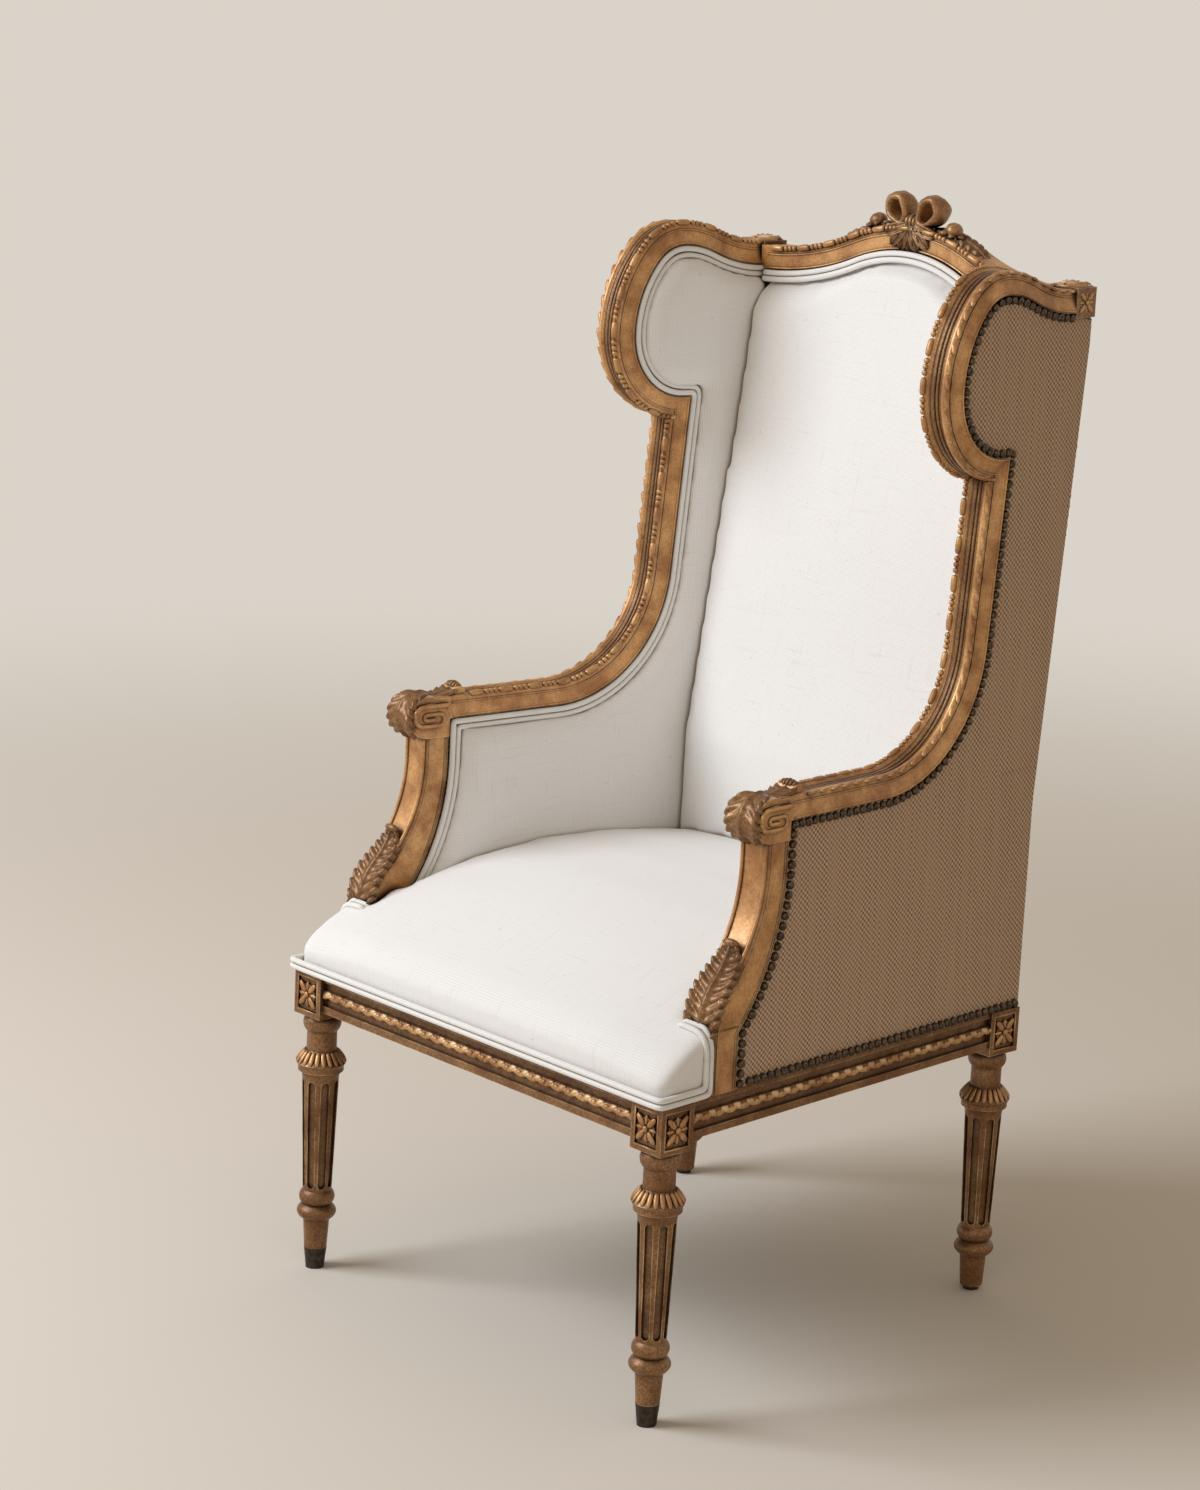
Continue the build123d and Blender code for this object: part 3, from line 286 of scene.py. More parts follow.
finishes = {
    "gilt": giltWood("agedGiltBeech", 0.12, 0.8),
    "carved": giltWood("agedGiltCarving", 0.22, 1.0),  # bead rows, rosettes and collars: strongest painted highlights, pale on their tops and edges
    "giltWorn": giltWood("wornGiltBeech", 0.72, 0.7),  # legs, seat rails, leaves and reeds, where less gold is left
    "ribbon": giltWood("brownedGiltCarving", 0.6, 0.15),  # bow and its leaves: brown and dull, with only a faint painted highlight on the edges
    "linen": slubLinen(),
    "sideCover": diamondHopsack("diamondHopsackSide", "Y"),
    "backCover": diamondHopsack("diamondHopsackBack", "X"),
    "nail": plainFinish("bronzedNailHammered", "#2a2017", "#66523c", 3.0, 0.25, 0.6, 0.3),  # dull bronze, bright on top
    "beech": plainFinish("planedBeech", "#6b4a2c", "#8a6440", 12.0, 0.6),  # bare frame wood, matt
    "lining": plainFinish("blackCambricLining", "#151413", "#24211f", 1.5, 0.95, 0.0, 0.3),  # thin black dust cloth
    "cap": plainFinish("darkBronzeCap", "#2a211a", "#4a3d32", 5.0, 0.45, 0.6),  # dark foot caps, slightly glossy
}
slotFinish = {
    "carved_gilt": "gilt", "plain_beech": "beech", "seat_linen": "linen", "woven_cover": "sideCover",
    "nail_heads": "nail", "black_lining": "lining", "dark_caps": "cap",
}
for row in frame["record"]["subparts"]:
    solid = nodes[row["node"]]
    key = slotFinish[row["material_slot"]]
    if "leg" in row["node"] or row["node"] in ("front_rail", "left_side_rail", "right_side_rail"):
        key = "giltWorn"
    solid.data.materials.clear()
    solid.data.materials.append(finishes[key])
print("finishes made", len(finishes))


# mesh tools
def newShell():
    return [], []  # points and faces


def addPatch(shell, rows):  # grid of points to quads
    points, faces = shell
    start, wide = len(points), len(rows[0])
    for line in rows:
        points.extend(line)
    for i in range(len(rows) - 1):
        for j in range(wide - 1):
            a = start + i * wide + j
            faces.append((a, a + 1, a + wide + 1, a + wide))


def addRings(shell, rings):  # equal closed rings joined in order, both ends capped
    points, faces = shell
    start, count = len(points), len(rings[0])
    last = (len(rings) - 1) * count
    for ring in rings:
        points.extend(ring)
    for i in range(0, last, count):
        for k in range(count):
            a = start + i + k
            b = start + i + (k + 1) % count
            faces.append((a, b, b + count, a + count))
    faces.append(tuple(range(start + count - 1, start - 1, -1)))
    faces.append(tuple(start + last + k for k in range(count)))


def addTube(shell, points, across, width, height, sides=8):  # run of ovals, half sizes in mm
    rings = []
    last = len(points) - 1
    for i, point in enumerate(points):
        along = (points[min(i + 1, last)] - points[max(i - 1, 0)]).normalized()
        side = (across - along * across.dot(along)).normalized()
        up = along.cross(side)
        turns = [2 * pi * k / sides for k in range(sides)]
        rings.append([point + (side * width * cos(turn) + up * height * sin(turn)) / 1000 for turn in turns])
    addRings(shell, rings)


# egg on three half axes; blunt under 1 squares it
def addBall(shell, centre, long, wide, high, rings=6, sides=10, blunt=1.0):
    points, faces = shell
    start = len(points)
    points.append(centre - long)
    for i in range(1, rings):
        angle = pi * i / rings
        reach = -copysign(abs(cos(angle)) ** blunt, cos(angle))
        girth = sin(angle) ** blunt
        for k in range(sides):
            turn = 2 * pi * k / sides
            points.append(centre + long * reach + (wide * cos(turn) + high * sin(turn)) * girth)
    points.append(centre + long)
    end = len(points) - 1
    for k in range(sides):
        nextK = (k + 1) % sides
        faces.append((start, start + 1 + nextK, start + 1 + k))
        for i in range(rings - 2):
            a = start + 1 + i * sides
            faces.append((a + k, a + nextK, a + sides + nextK, a + sides + k))
        faces.append((end, end - sides + k, end - sides + nextK))


def faceFrame(centre, along, out):  # mm along, across and out of a flat spot, to a place
    along = along.normalized()
    out = out.normalized()
    across = out.cross(along)
    return lambda a, b, c: centre + (along * a + across * b + out * c) / 1000


def addEgg(shell, place, at, size, turn=0.0, rings=6, sides=8, blunt=1.0):  # egg laid in a spot's own frame
    a, b, c = at
    centre = place(a, b, c)
    long = place(a + size[0] * cos(turn), b + size[0] * sin(turn), c) - centre
    wide = place(a - size[1] * sin(turn), b + size[1] * cos(turn), c) - centre
    addBall(shell, centre, long, wide, place(a, b, c + size[2]) - centre, rings, sides, blunt)


def addLeaf(shell, place, length, width, lobes, rise, curl=0.0):  # acanthus: a rib, swept lobes and a raised rim
    half = (0.0, 0.06, 0.16, 0.3, 0.48, 0.66, 0.8, 0.92, 1.0)
    rows = []
    for i in range(lobes * 8 + 1):
        share = i / (lobes * 8)
        step = share * lobes % 1.0
        tooth = step / 0.75 if step < 0.75 else (1 - step) / 0.25
        if share > 0.4:  # widest there, then round to the tip
            body = sqrt(max(0.0, 1 - ((share - 0.4) / 0.6) ** 2))
        else:
            body = 0.66 + 0.34 * sin(share / 0.4 * pi / 2)
        edge = max(0.04, body * (0.84 + 0.16 * tooth))
        line = []
        for t in [-far for far in half[:0:-1]] + list(half):
            far = abs(t)
            vein = 0.46 * min(1.0, far * 1.6) * abs(cos(pi * step)) ** 3
            high = 0.5 + 0.5 * max(0.0, 1 - far / 0.14) + 0.45 * max(0.0, 1 - abs(far - 0.8) / 0.3) - vein
            high = rise * min(1.0, 0.4 + share * 4) * (high if far < 1.0 else -0.15)
            high += curl * max(0.0, (share - 0.7) / 0.3) ** 2
            ahead = 0.45 * width * far * edge * (1 - 0.5 * share)
            line.append(place(share * length + ahead, t * edge * width / 2, high))
        rows.append(line)
    addPatch(shell, rows)


def newPiece(name, shell, finish):
    mesh = bpy.data.meshes.new(name)
    points, faces = shell
    mesh.from_pydata([tuple(point) for point in points], [], faces)
    mesh.polygons.foreach_set("use_smooth", [True] * len(mesh.polygons))
    mesh.materials.append(finishes[finish])
    piece = newObject(name, mesh)
    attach(piece, "root")
    return piece


# runs of the frame in the flat side frame
def trail(start, heading, moves):  # moves are (length, 0) or (radius, turn in degrees)
    points = [Vector(start)]
    angle = radians(heading)
    for size, turn in moves:
        base = points[-1].copy()
        bend = radians(turn)
        length = size * abs(bend) if turn else size
        steps = max(1, ceil(length / 2.0))
        for i in range(1, steps + 1):
            if turn:
                part = bend * i / steps
                hub = base + Vector((-sin(angle), cos(angle))) * copysign(size, bend)
                spoke = base - hub
                far, off = cos(part), sin(part)
                points.append(hub + Vector((spoke.x * far - spoke.y * off, spoke.x * off + spoke.y * far)))
            else:
                points.append(base + Vector((cos(angle), sin(angle))) * size * i / steps)
        angle += bend
    return points


def walk(points):  # length of a run, and its place and direction at a distance along it
    lengths = [0.0]
    for a, b in zip(points, points[1:]):
        lengths.append(lengths[-1] + (b - a).length)

    def at(distance):
        i = min(len(points) - 2, max(0, bisect.bisect_right(lengths, distance) - 1))
        share = (distance - lengths[i]) / (lengths[i + 1] - lengths[i])
        return points[i].lerp(points[i + 1], share), (points[i + 1] - points[i]).normalized()

    return lengths[-1], at


def spaced(points, pitch):  # evenly spaced (place, direction) along a run
    length, at = walk(points)
    count = max(1, round(length / pitch))
    return [at((k + 0.5) * length / count) for k in range(count)]


def sideTube(shell, side, run, out, width, height, sides=6):  # tube along a run of the side frame
    addTube(shell, [onSide(side, p.x, p.y, out) for p in run], outOf(side), width, height, sides)


def mirrorRun(half):  # a run from the middle out, on both sides
    return [Vector((-point.x, *point[1:])) for point in half[:0:-1]] + half


def notchCorner(inset):
    rise = wing["notchHeight"] - wing["armHeight"] - wing["bendRadius"] * (1 - sin(wingLean))
    foot = wing["bendStart"] + wing["bendRadius"] * cos(wingLean) + rise * tan(wingLean)
    return Vector((foot + inset * (1 + sin(wingLean)) / cos(wingLean), wing["notchHeight"] + inset))


def armRun(start, inset):  # from the scroll along the arm and up to the notch
    level = wing["armHeight"] - inset
    radius = wing["bendRadius"] + inset
    foot = Vector((wing["bendStart"] + radius * cos(wingLean), level + radius * (1 - sin(wingLean))))
    rise = (notchCorner(inset) - foot).length
    return trail((start, level), 0, [(wing["bendStart"] - start, 0), (radius, 90 - wing["lean"]), (rise, 0)])


def earRun(inset):  # from the notch round the ear to the corner block
    start = notchCorner(inset)
    arcs = wing["earBack"] + wing["earTail"]
    topAt = wing["earFront"] + wing["earUpper"] * (1 - cos(radians(wing["upperTurn"])))
    topAt += wing["earTop"] * cos(radians(wing["upperTurn"]))
    back = radians(wing["backTurn"])
    slope = (wing["cornerFront"] - topAt - arcs * sin(back)) / cos(back)
    low = start.x - wing["earFront"] - wing["earLower"]
    return trail(start, 180, [
        (low, 0), (wing["earLower"] - inset, -90), (wing["earUpper"] - inset, -wing["upperTurn"]),
        (wing["earTop"] - inset, wing["upperTurn"] - 90), (wing["earBack"] - inset, -wing["backTurn"]),
        (slope, 0), (wing["earTail"] + inset, wing["backTurn"]),
    ])


post = {
    "front": 46.0, "baseBack": 82.0, "baseTop": 394.0, "curveTop": 554.34, "topBack": 141.1,
    "lower": 72.0, "upper": 158.0, "sweep": 44.2, "neck": 26.0,
}


def postBack(height):
    reach = post["topBack"] - post["baseBack"]
    rise = post["curveTop"] - post["baseTop"]
    radius = (reach ** 2 + rise ** 2) / (2 * reach)
    drop = min(rise, max(0.0, post["curveTop"] - height))
    return post["topBack"] - radius + sqrt(radius ** 2 - drop ** 2)


def postRun(gap, low, inset):  # up the rear edge of the post to the arm
    count = 90
    top = wing["armHeight"] - inset
    levels = [low + (top - low) * i / count for i in range(count + 1)]
    return [Vector((postBack(level) + gap, level)) for level in levels]


def coverOutline(inset):  # open outline of a side cover, from the foot of the post to the corner block
    gap = inset - chair["show"]
    return postRun(gap, chair["railTop"] + 0.3, inset) + armRun(post["topBack"] + gap, inset)[1:] + earRun(inset)[1:]


# crest line seen from the front
crest = {
    "end": 1091.511, "rise": 40.5, "turn": 22.8, "upper": 219.0, "front": 281.799, "bow": 15.0,
    "flat": 204.0, "arcsEnd": 201.0,
}


def crestRun(drop, reach):  # half of the serpentine line, from the middle out
    lower = crest["rise"] / (1 - cos(radians(crest["turn"]))) - crest["upper"]
    points = trail((0, crest["end"] + crest["rise"] - drop), 0, [
        (crest["upper"] - drop, -crest["turn"]), (lower + drop, crest["turn"]), (max(1.0, reach - crest["arcsEnd"]), 0)
    ])
    return [point for point in points if point.x <= reach]


def crestFace(x):  # how far back the crest's front face lies
    radius = (crest["flat"] ** 2 + crest["bow"] ** 2) / (2 * crest["bow"])
    return crest["front"] + crest["bow"] - radius + sqrt(radius ** 2 - x ** 2)


def crestLevel(x, drop):
    run = crestRun(drop, 260.0)
    x = abs(x)
    for a, b in zip(run, run[1:]):
        if a.x <= x <= b.x:
            return a.y + (b.y - a.y) * (x - a.x) / (b.x - a.x)
    return run[-1].y


# stuffed pads
wingPad = {"voxel": 5.0, "soften": 3, "grow": 2.4, "pressure": 3.0, "cap": 1.5, "fill": 0.9}
pads = {
    "tightSeat": {"node": "seat_pad", "voxel": 6.0, "soften": 7, "grow": 5.5, "pressure": 3.0, "cap": 1.5, "fill": 0.9},
    "tightBack": {"node": "back_pad", "voxel": 6.0, "soften": 7, "grow": 0.5, "pressure": 3.5, "cap": 3.5, "fill": 0.9},
    "leftInsideWing": {"node": "left_side_pad", **wingPad},
    "rightInsideWing": {"node": "right_side_pad", **wingPad},
}
roll = {"drop": 38.0, "tall": 70.0, "half": 215.0, "behind": 3.0, "deep": 40.0}
seatFront = {
    "edge": -280.0, "half": 275.0, "climb": 230.0, "drop": 0.5, "curve": 2.2, "corner": 90.0, "cornerDrop": 0.1,
}
stuffed = {"quality": 4, "stiffness": 25, "steps": 20}


def settledMesh(piece):
    settled = piece.evaluated_get(bpy.context.evaluated_depsgraph_get())
    return bpy.data.meshes.new_from_object(settled)


def rollTop(mesh):  # the back pad's upper edge rolls in under the crest
    for vertex in mesh.vertices:
        x, depth, height = fromFloor(vertex.co)
        below = crestLevel(x, roll["drop"]) - height
        if below < roll["tall"] and abs(x) < roll["half"]:
            share = max(0.0, min(1.0, below / roll["tall"]))
            face = crestFace(min(abs(x), crest["flat"])) + roll["behind"]
            limit = face - roll["deep"] * sqrt(1 - (1 - share) ** 2)
            if depth < limit:
                vertex.co = onChair(x, limit, height)


def lowerFront(mesh):  # the seat climbs from a low front edge, lowest at its corners
    for vertex in mesh.vertices:
        x, depth, height = fromFloor(vertex.co)
        rise = height - chair["railTop"]
        if rise > 0:
            behind, inside = depth - seatFront["edge"], seatFront["half"] - abs(x)
            back = max(0.0, min(1.0, behind / seatFront["climb"]))
            corner = max(0.0, 1 - behind / seatFront["corner"]) * max(0.0, 1 - inside / seatFront["corner"])
            share = 1 - seatFront["drop"] * (1 - back) ** seatFront["curve"] - seatFront["cornerDrop"] * corner
            vertex.co = onChair(x, depth, chair["railTop"] + rise * share)


def plumpPad(name, care):
    pad = newObject(name, nodes[care["node"]].data.copy())
    grid = pad.modifiers.new("grid", "REMESH")
    grid.mode = "VOXEL"
    grid.voxel_size = care["voxel"] / 1000
    soft = pad.modifiers.new("soften", "SMOOTH")
    soft.factor = 0.5
    soft.iterations = care["soften"]
    more = pad.modifiers.new("grow", "DISPLACE")
    more.mid_level = 0.0
    more.strength = care["grow"] / 1000
    shaped = settledMesh(pad)
    pad.modifiers.clear()
    pad.data = shaped
    if name == "tightBack":
        rollTop(shaped)
    if name == "tightSeat":
        lowerFront(shaped)
    stuffing = pad.modifiers.new("stuffing", "CLOTH")
    cloth = stuffing.settings
    cloth.use_pressure = True
    cloth.uniform_pressure_force = care["pressure"]
    cloth.effector_weights.gravity = 0.0
    cloth.quality = stuffed["quality"]
    cloth.tension_stiffness = cloth.compression_stiffness = stuffed["stiffness"]
    stuffing.collision_settings.use_collision = False
    for step in range(1, stuffed["steps"] + 1):
        scene.frame_set(step)
    blown = settledMesh(pad)
    pad.modifiers.clear()
    scene.frame_set(1)
    for vertex, moved in zip(shaped.vertices, blown.vertices):
        swell = moved.co - vertex.co
        vertex.co += swell * min(1.0, care["cap"] / 1000 / max(swell.length, 1e-6))
    shaped.materials.clear()
    shaped.materials.append(finishes["linen"])
    shaped.polygons.foreach_set("use_smooth", [True] * len(shaped.polygons))
    finer = pad.modifiers.new("finer", "SUBSURF")
    finer.levels = finer.render_levels = 1
    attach(pad, "root")
    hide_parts(care["node"])
    print("padded", name, len(shaped.vertices))


for name, care in pads.items():
    plumpPad(name, care)

# double cords along the wood
welt = {
    "radius": 3.2, "apart": 6.6, "out": -20.6, "first": 26.4,
    "crestDrop": 26.2, "crestReach": 200.0, "crestOut": (3.5, 5.0),
}


def smoothRun(points):  # points read from a spline with these as its control points
    curve = bpy.data.curves.new("run", "CURVE")
    curve.dimensions = "3D"
    spline = curve.splines.new("NURBS")
    spline.points.add(len(points) - 1)
    for item, point in zip(spline.points, points):
        item.co = (*point, 1.0)
    spline.order_u = 3
    spline.use_endpoint_u = True
    spline.resolution_u = 6
    carrier = newObject("run", curve)
    mesh = settledMesh(carrier)
    found = [vertex.co.copy() for vertex in mesh.vertices]
    bpy.data.objects.remove(carrier)
    bpy.data.meshes.remove(mesh)
    return found


def eased(run, reach):  # the run again in steps of 3 mm, its corners rounded
    spots = [point for point, _ in spaced(run, 3.0)]
    for _ in range(2):
        middle = []
        for i in range(1, len(spots) - 1):
            near = spots[max(0, i - reach):i + reach + 1]
            middle.append(sum(near, Vector((0, 0))) / len(near) if spots[i].y > wing["armHeight"] else spots[i])
        spots = spots[:1] + middle + spots[-1:]
    return spots


def sideWelts(side, label):
    shell = newShell()
    for k in range(2):
        outline = eased(coverOutline(welt["first"] + k * welt["apart"]), 1 + 2 * k)
        sideTube(shell, side, outline, welt["out"], welt["radius"], welt["radius"], 8)
    piece = newPiece(label + "WingWelt", shell, "linen")
    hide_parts(label + "_side_welt")


def crestWelt():
    shell = newShell()
    for k in range(2):
        run = mirrorRun(crestRun(welt["crestDrop"] + k * welt["apart"], welt["crestReach"]))
        points = [onChair(point.x, crestFace(point.x) - welt["crestOut"][k], point.y) for point in run[::2]]
        addTube(shell, points, Vector((0, 1, 0)), welt["radius"], welt["radius"], 8)
    newPiece("crestWelt", shell, "linen")


seatWelt = {
    "front": -283.5, "out": 19.6, "low": 338.9, "curl": 1.4, "above": 700.0, "below": 300.0, "missed": 392.0,
    "over": (15.0, 9.0, 3.0, -4.0, -11.0, -17.0),
}


def seatTop(back, out):  # height of the padded seat's top beside the right post
    start, under = (onSide(1, back, seatWelt[key], out) for key in ("above", "below"))
    hit, spot, *_ = bpy.data.objects["tightSeat"].ray_cast(start, (under - start).normalized())
    return seatWelt["above"] - (spot - start).length * 1000 if hit else seatWelt["missed"]


def seatWelts():  # along the front, round the corners, up the posts and over the seat behind their leaves
    shell = newShell()
    front, out = seatWelt["front"], seatWelt["out"]
    run = (front + halfDepth - out * sin(taper)) / cos(taper)
    corner = sideFoot - run * sin(taper) + out * cos(taper)
    for k in range(2):
        level = seatWelt["low"] + k * welt["apart"]
        stop = post["front"] - 3.8 - k * welt["apart"]
        half = [onChair(x, front, level) for x in (0, 60, 120, 180, 230, corner - 8)]
        half += [onChair(corner - 1.5, front + 1.5, level)]
        half += [onSide(1, u, level, out) for u in (run + 8, run + 30, stop - 12)]
        half += [onSide(1, stop - 1, level + 0.5, out), onSide(1, stop, level + 9, out - 0.5)]
        half += [onSide(1, stop, z, out - 1) for z in (level + 20, seatTop(stop, 15.0) - 11)]
        half += [onSide(1, stop, seatTop(stop, n) + seatWelt["curl"], n) for n in seatWelt["over"]]
        half += [onSide(1, stop + 4, seatTop(stop, -20.0) - drop, -21.0) for drop in (5.0, 16.0)]
        addTube(shell, smoothRun(mirrorRun(half)), Vector((0, 0, 1)), welt["radius"], welt["radius"], 8)
    piece = newPiece("seatWelt", shell, "linen")
    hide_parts("seat_welt")


onBoth(sideWelts)
crestWelt()
seatWelts()
print("welts laid")

# outside covers and their nails
cover = {
    "out": 16.6, "bulge": 1.6, "row": 8.0, "count": 95, "columns": 40, "cut": (0.52, 0.76),
    "earFoot": 930.0, "breaks": (598.3, 598.5, 932.3, 932.5), "ease": 60.0,
}
nails = {"radius": 4.8, "height": 4.3, "pitch": 10.3, "inset": 27.6, "out": 18.6, "seed": 11}


def stileRake(height):  # how far the stiles have raked back at a height
    share = (height - stile["rakeFoot"]) / (stile["rakeTop"] - stile["rakeFoot"])
    return max(0.0, min(1.0, share))


def stileBack(height, gap):
    return stile["back"] + stile["rake"] * stileRake(height) - gap


def sideCovers(side, label):
    outline = coverOutline(chair["show"] + 0.6)
    levels = sorted({chair["railTop"] + 0.3 + cover["row"] * i for i in range(cover["count"])} | set(cover["breaks"]))
    top = max(point.y for point in outline)
    shell = newShell()
    rows = []
    for level in [z for z in levels if z < top - 2]:
        hits = [
            a.x + (b.x - a.x) * (level - a.y) / (b.y - a.y)
            for a, b in zip(outline, outline[1:]) if (a.y - level) * (b.y - level) < 0
        ]
        if not hits:
            continue
        low = max(hits) if len(hits) % 2 and level < cover["earFoot"] else min(hits)
        high = stileBack(min(level, wing["cornerFoot"]), 0.4)
        if level > outline[-1].y and len(hits) > 1:
            high = max(hits)
        if level > wing["cornerFoot"] - 1:
            high = min(high, wing["cornerFront"])
        line = []
        for j in range(cover["columns"] + 1):
            share = j / cover["columns"]
            swell = cover["bulge"] * min(1.0, 6 * share, 6 * (1 - share))
            swell *= min(1.0, (level - chair["railTop"]) / cover["ease"])
            line.append(onSide(side, low + (high - low) * share, level, cover["out"] + swell))
        rows.append(line)
    addPatch(shell, rows)
    piece = newPiece(label + "OutsideCover", shell, "sideCover")
    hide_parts(label + "_outside_panel")


def addNail(shell, chance, centre, out):
    along = out.orthogonal().normalized()
    across = out.cross(along)
    girth = nails["radius"] / 1000 * chance.uniform(0.93, 1.05)
    tip = (out + along * chance.uniform(-0.12, 0.12) + across * chance.uniform(-0.12, 0.12)).normalized()
    oval = across * girth * chance.uniform(0.88, 1.0)
    addBall(shell, centre, tip * nails["height"] / 1000, along * girth, oval, 6, 9, 0.9)


def sideNails(side, label):
    chance = random.Random(nails["seed"] + side)
    shell = newShell()
    edge = coverOutline(nails["inset"])
    low = chair["railTop"] + 5.2
    floorRow = [Vector((post["baseBack"] + 14, low)), Vector((stileBack(low, 4), low))]
    for run in (edge, floorRow):
        for point, _ in spaced(run, nails["pitch"]):
            addNail(shell, chance, onSide(side, point.x, point.y, nails["out"]), outOf(side))
    piece = newPiece(label + "NailRow", shell, "nail")
    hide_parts(label + "_nail_strip")


backCover = {
    "drop": 26.5, "columns": 36, "rows": 60, "cut": (0.49, 0.78), "behind": 1.8, "puff": 1.5,
    "out": 15.0, "bow": 15.15, "half": 226.0, "nailBehind": 3.4,
}


def backPoint(x, height, behind):  # on the outside back, behind the stiles
    share = stileRake(height)
    run = stileBack(height, -behind)
    half = sideFoot - run * sin(taper) + backCover["out"] * cos(taper)
    back = run * cos(taper) + backCover["out"] * sin(taper) - halfDepth
    return onChair(x * half, back + backCover["bow"] * share * (1 - x * x), height)


def outsideBack():
    shell = newShell()
    rows = []
    low = chair["railTop"] + 0.3
    for i in range(backCover["rows"] + 1):
        line = []
        for j in range(backCover["columns"] + 1):
            x = -1 + 2 * j / backCover["columns"]
            top = crestLevel(x * backCover["half"], backCover["drop"])
            puff = backCover["puff"] * min(1.0, 8 * (1 - abs(x)))
            line.append(backPoint(x, low + (top - low) * i / backCover["rows"], backCover["behind"] + puff))
        rows.append(line)
    addPatch(shell, rows)
    piece = newPiece("outsideBackCover", shell, "backCover")
    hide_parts("outside_back")
    chance = random.Random(nails["seed"])
    shell = newShell()
    behind = backCover["nailBehind"]
    across = [-0.94 + 1.88 * i / 60 for i in range(61)]
    upright = (low + 6, 560, 700, 900, crestLevel(220, backCover["drop"]) - 5)
    edge = [[backPoint(x, z, behind) for z in upright] for x in (-0.97, 0.97)]
    edge.append([backPoint(x, low + 6, behind) for x in across])
    edge.append([backPoint(x, crestLevel(x * backCover["half"], backCover["drop"]) - 5, behind) for x in across])
    away = (onChair(0, 1, 0) - onChair(0, 0, 0)).normalized()
    for run in edge:
        for point, _ in spaced(run, nails["pitch"] / 1000):
            addNail(shell, chance, point, away)
    newPiece("backNailRow", shell, "nail")


onBoth(sideCovers)
onBoth(sideNails)
outsideBack()
print("covers nailed")

# carved ornament of the frame
carve = {
    "arris": 13.6, "proud": 1.1, "sunk": 0.8, "start": 168.0, "over": (31.0, 30.4),
    "reeds": (-7.5, -2.5, 2.5, 7.5), "reed": 2.3, "reedInset": 2.6,
    "batonPitch": 38.0, "baton": (9.2, 3.7, 3.6), "pearl": (3.2, 3.5, 3.4), "pearls": (13.2, 19.0, 24.8),
    "stickPitch": 18.0, "stick": (9.8, 3.3, 2.2), "stickTurn": 0.34, "knot": (2.2, 2.5, 2.1), "seed": 5,
    "fillet": 1.5, "filletAt": (20.6, 19.8), "thread": 1.0, "threadAt": (6.2, 15.9),
}


# spot on a run of the side frame: along it, across it, away from the cloth
def edgeFrame(side, point, heading, out):
    centre = onSide(side, point.x, point.y, out)
    along = onSide(side, point.x + heading.x, point.y + heading.y, out) - centre
    return faceFrame(centre, along, onSide(side, point.x - heading.y, point.y + heading.x, out) - centre)


def batonRow(shell, run, frameAt):  # long beads with three pearls between
    length, at = walk(run)
    count = max(1, round(length / carve["batonPitch"]))
    pitch = length / count
    for k in range(count):
        start = (k + 0.26) * pitch
        addEgg(shell, frameAt(*at(start)), (0, 0, 0), carve["baton"], 0, 6, 8, 0.55)
        for gap in carve["pearls"]:
            addEgg(shell, frameAt(*at(start + gap * pitch / carve["batonPitch"])), (0, 0, 0), carve["pearl"], 0, 5, 8)


def ribbonRow(shell, run, frameAt, chance):  # worn ribbon wound round a stick
    for point, heading in spaced(run, carve["stickPitch"]):
        place = frameAt(point, heading)
        size = [value * chance.uniform(0.86, 1.06) for value in carve["stick"]]
        addEgg(shell, place, (0, 0, 0.2), size, carve["stickTurn"] * chance.uniform(0.7, 1.3), 6, 8, 0.7)
        addEgg(shell, place, (carve["stickPitch"] / 2, 0, -0.4), carve["knot"], 0, 4, 8)


def sideRows(side, label):
    chance = random.Random(carve["seed"] + side)
    shell = newShell()
    over = Vector((wing["cornerFront"], wing["cornerFoot"])) + Vector(carve["over"])
    for run in (armRun(carve["start"], -carve["proud"]), earRun(-carve["proud"]) + [over]):
        batonRow(shell, run, lambda point, heading: edgeFrame(side, point, heading, -carve["arris"]))
    for run in (armRun(carve["start"], carve["sunk"]), earRun(carve["sunk"]) + [over]):
        ribbonRow(shell, run, lambda point, heading: edgeFrame(side, point, heading, carve["arris"]), chance)
    newPiece(label + "CarvedRows", shell, "carved")
    shell = newShell()
    for out in (-1, 1):
        for key in ("fillet", "thread"):
            (inset, reach), size = carve[key + "At"], carve[key]
            run = armRun(post["topBack"] + 4, inset) + earRun(inset)[1:]
            sideTube(shell, side, run[::2], out * reach, size, size)
    newPiece(label + "FrameFillets", shell, "gilt")
    shell = newShell()
    for out in carve["reeds"]:
        run = armRun(carve["start"] + 2, carve["reedInset"]) + earRun(carve["reedInset"])[1:]
        sideTube(shell, side, run[::2], out, carve["reed"], carve["reed"])
    newPiece(label + "ChannelReeds", shell, "giltWorn")


def crestRows():
    shell = newShell()

    def frameAt(point, heading):
        depth = crestFace(point.x) - 1.2
        centre = onChair(point.x, depth, point.y)
        ahead = onChair(point.x + heading.x, depth, point.y + heading.y) - centre
        return faceFrame(centre, ahead, onChair(point.x - heading.y, depth, point.y + heading.x) - centre)

    batonRow(shell, mirrorRun(crestRun(-1.0, 196.0)), frameAt)
    newPiece("crestBeads", shell, "carved")
    shell = newShell()
    for drop, size in ((6.0, carve["thread"]), (21.0, carve["fillet"])):
        run = mirrorRun(crestRun(drop, 200.0))
        points = [onChair(p.x, crestFace(p.x) - 0.3, p.y) for p in run[::2]]
        addTube(shell, points, Vector((0, 1, 0)), size, size, 6)
    newPiece("crestFillets", shell, "gilt")


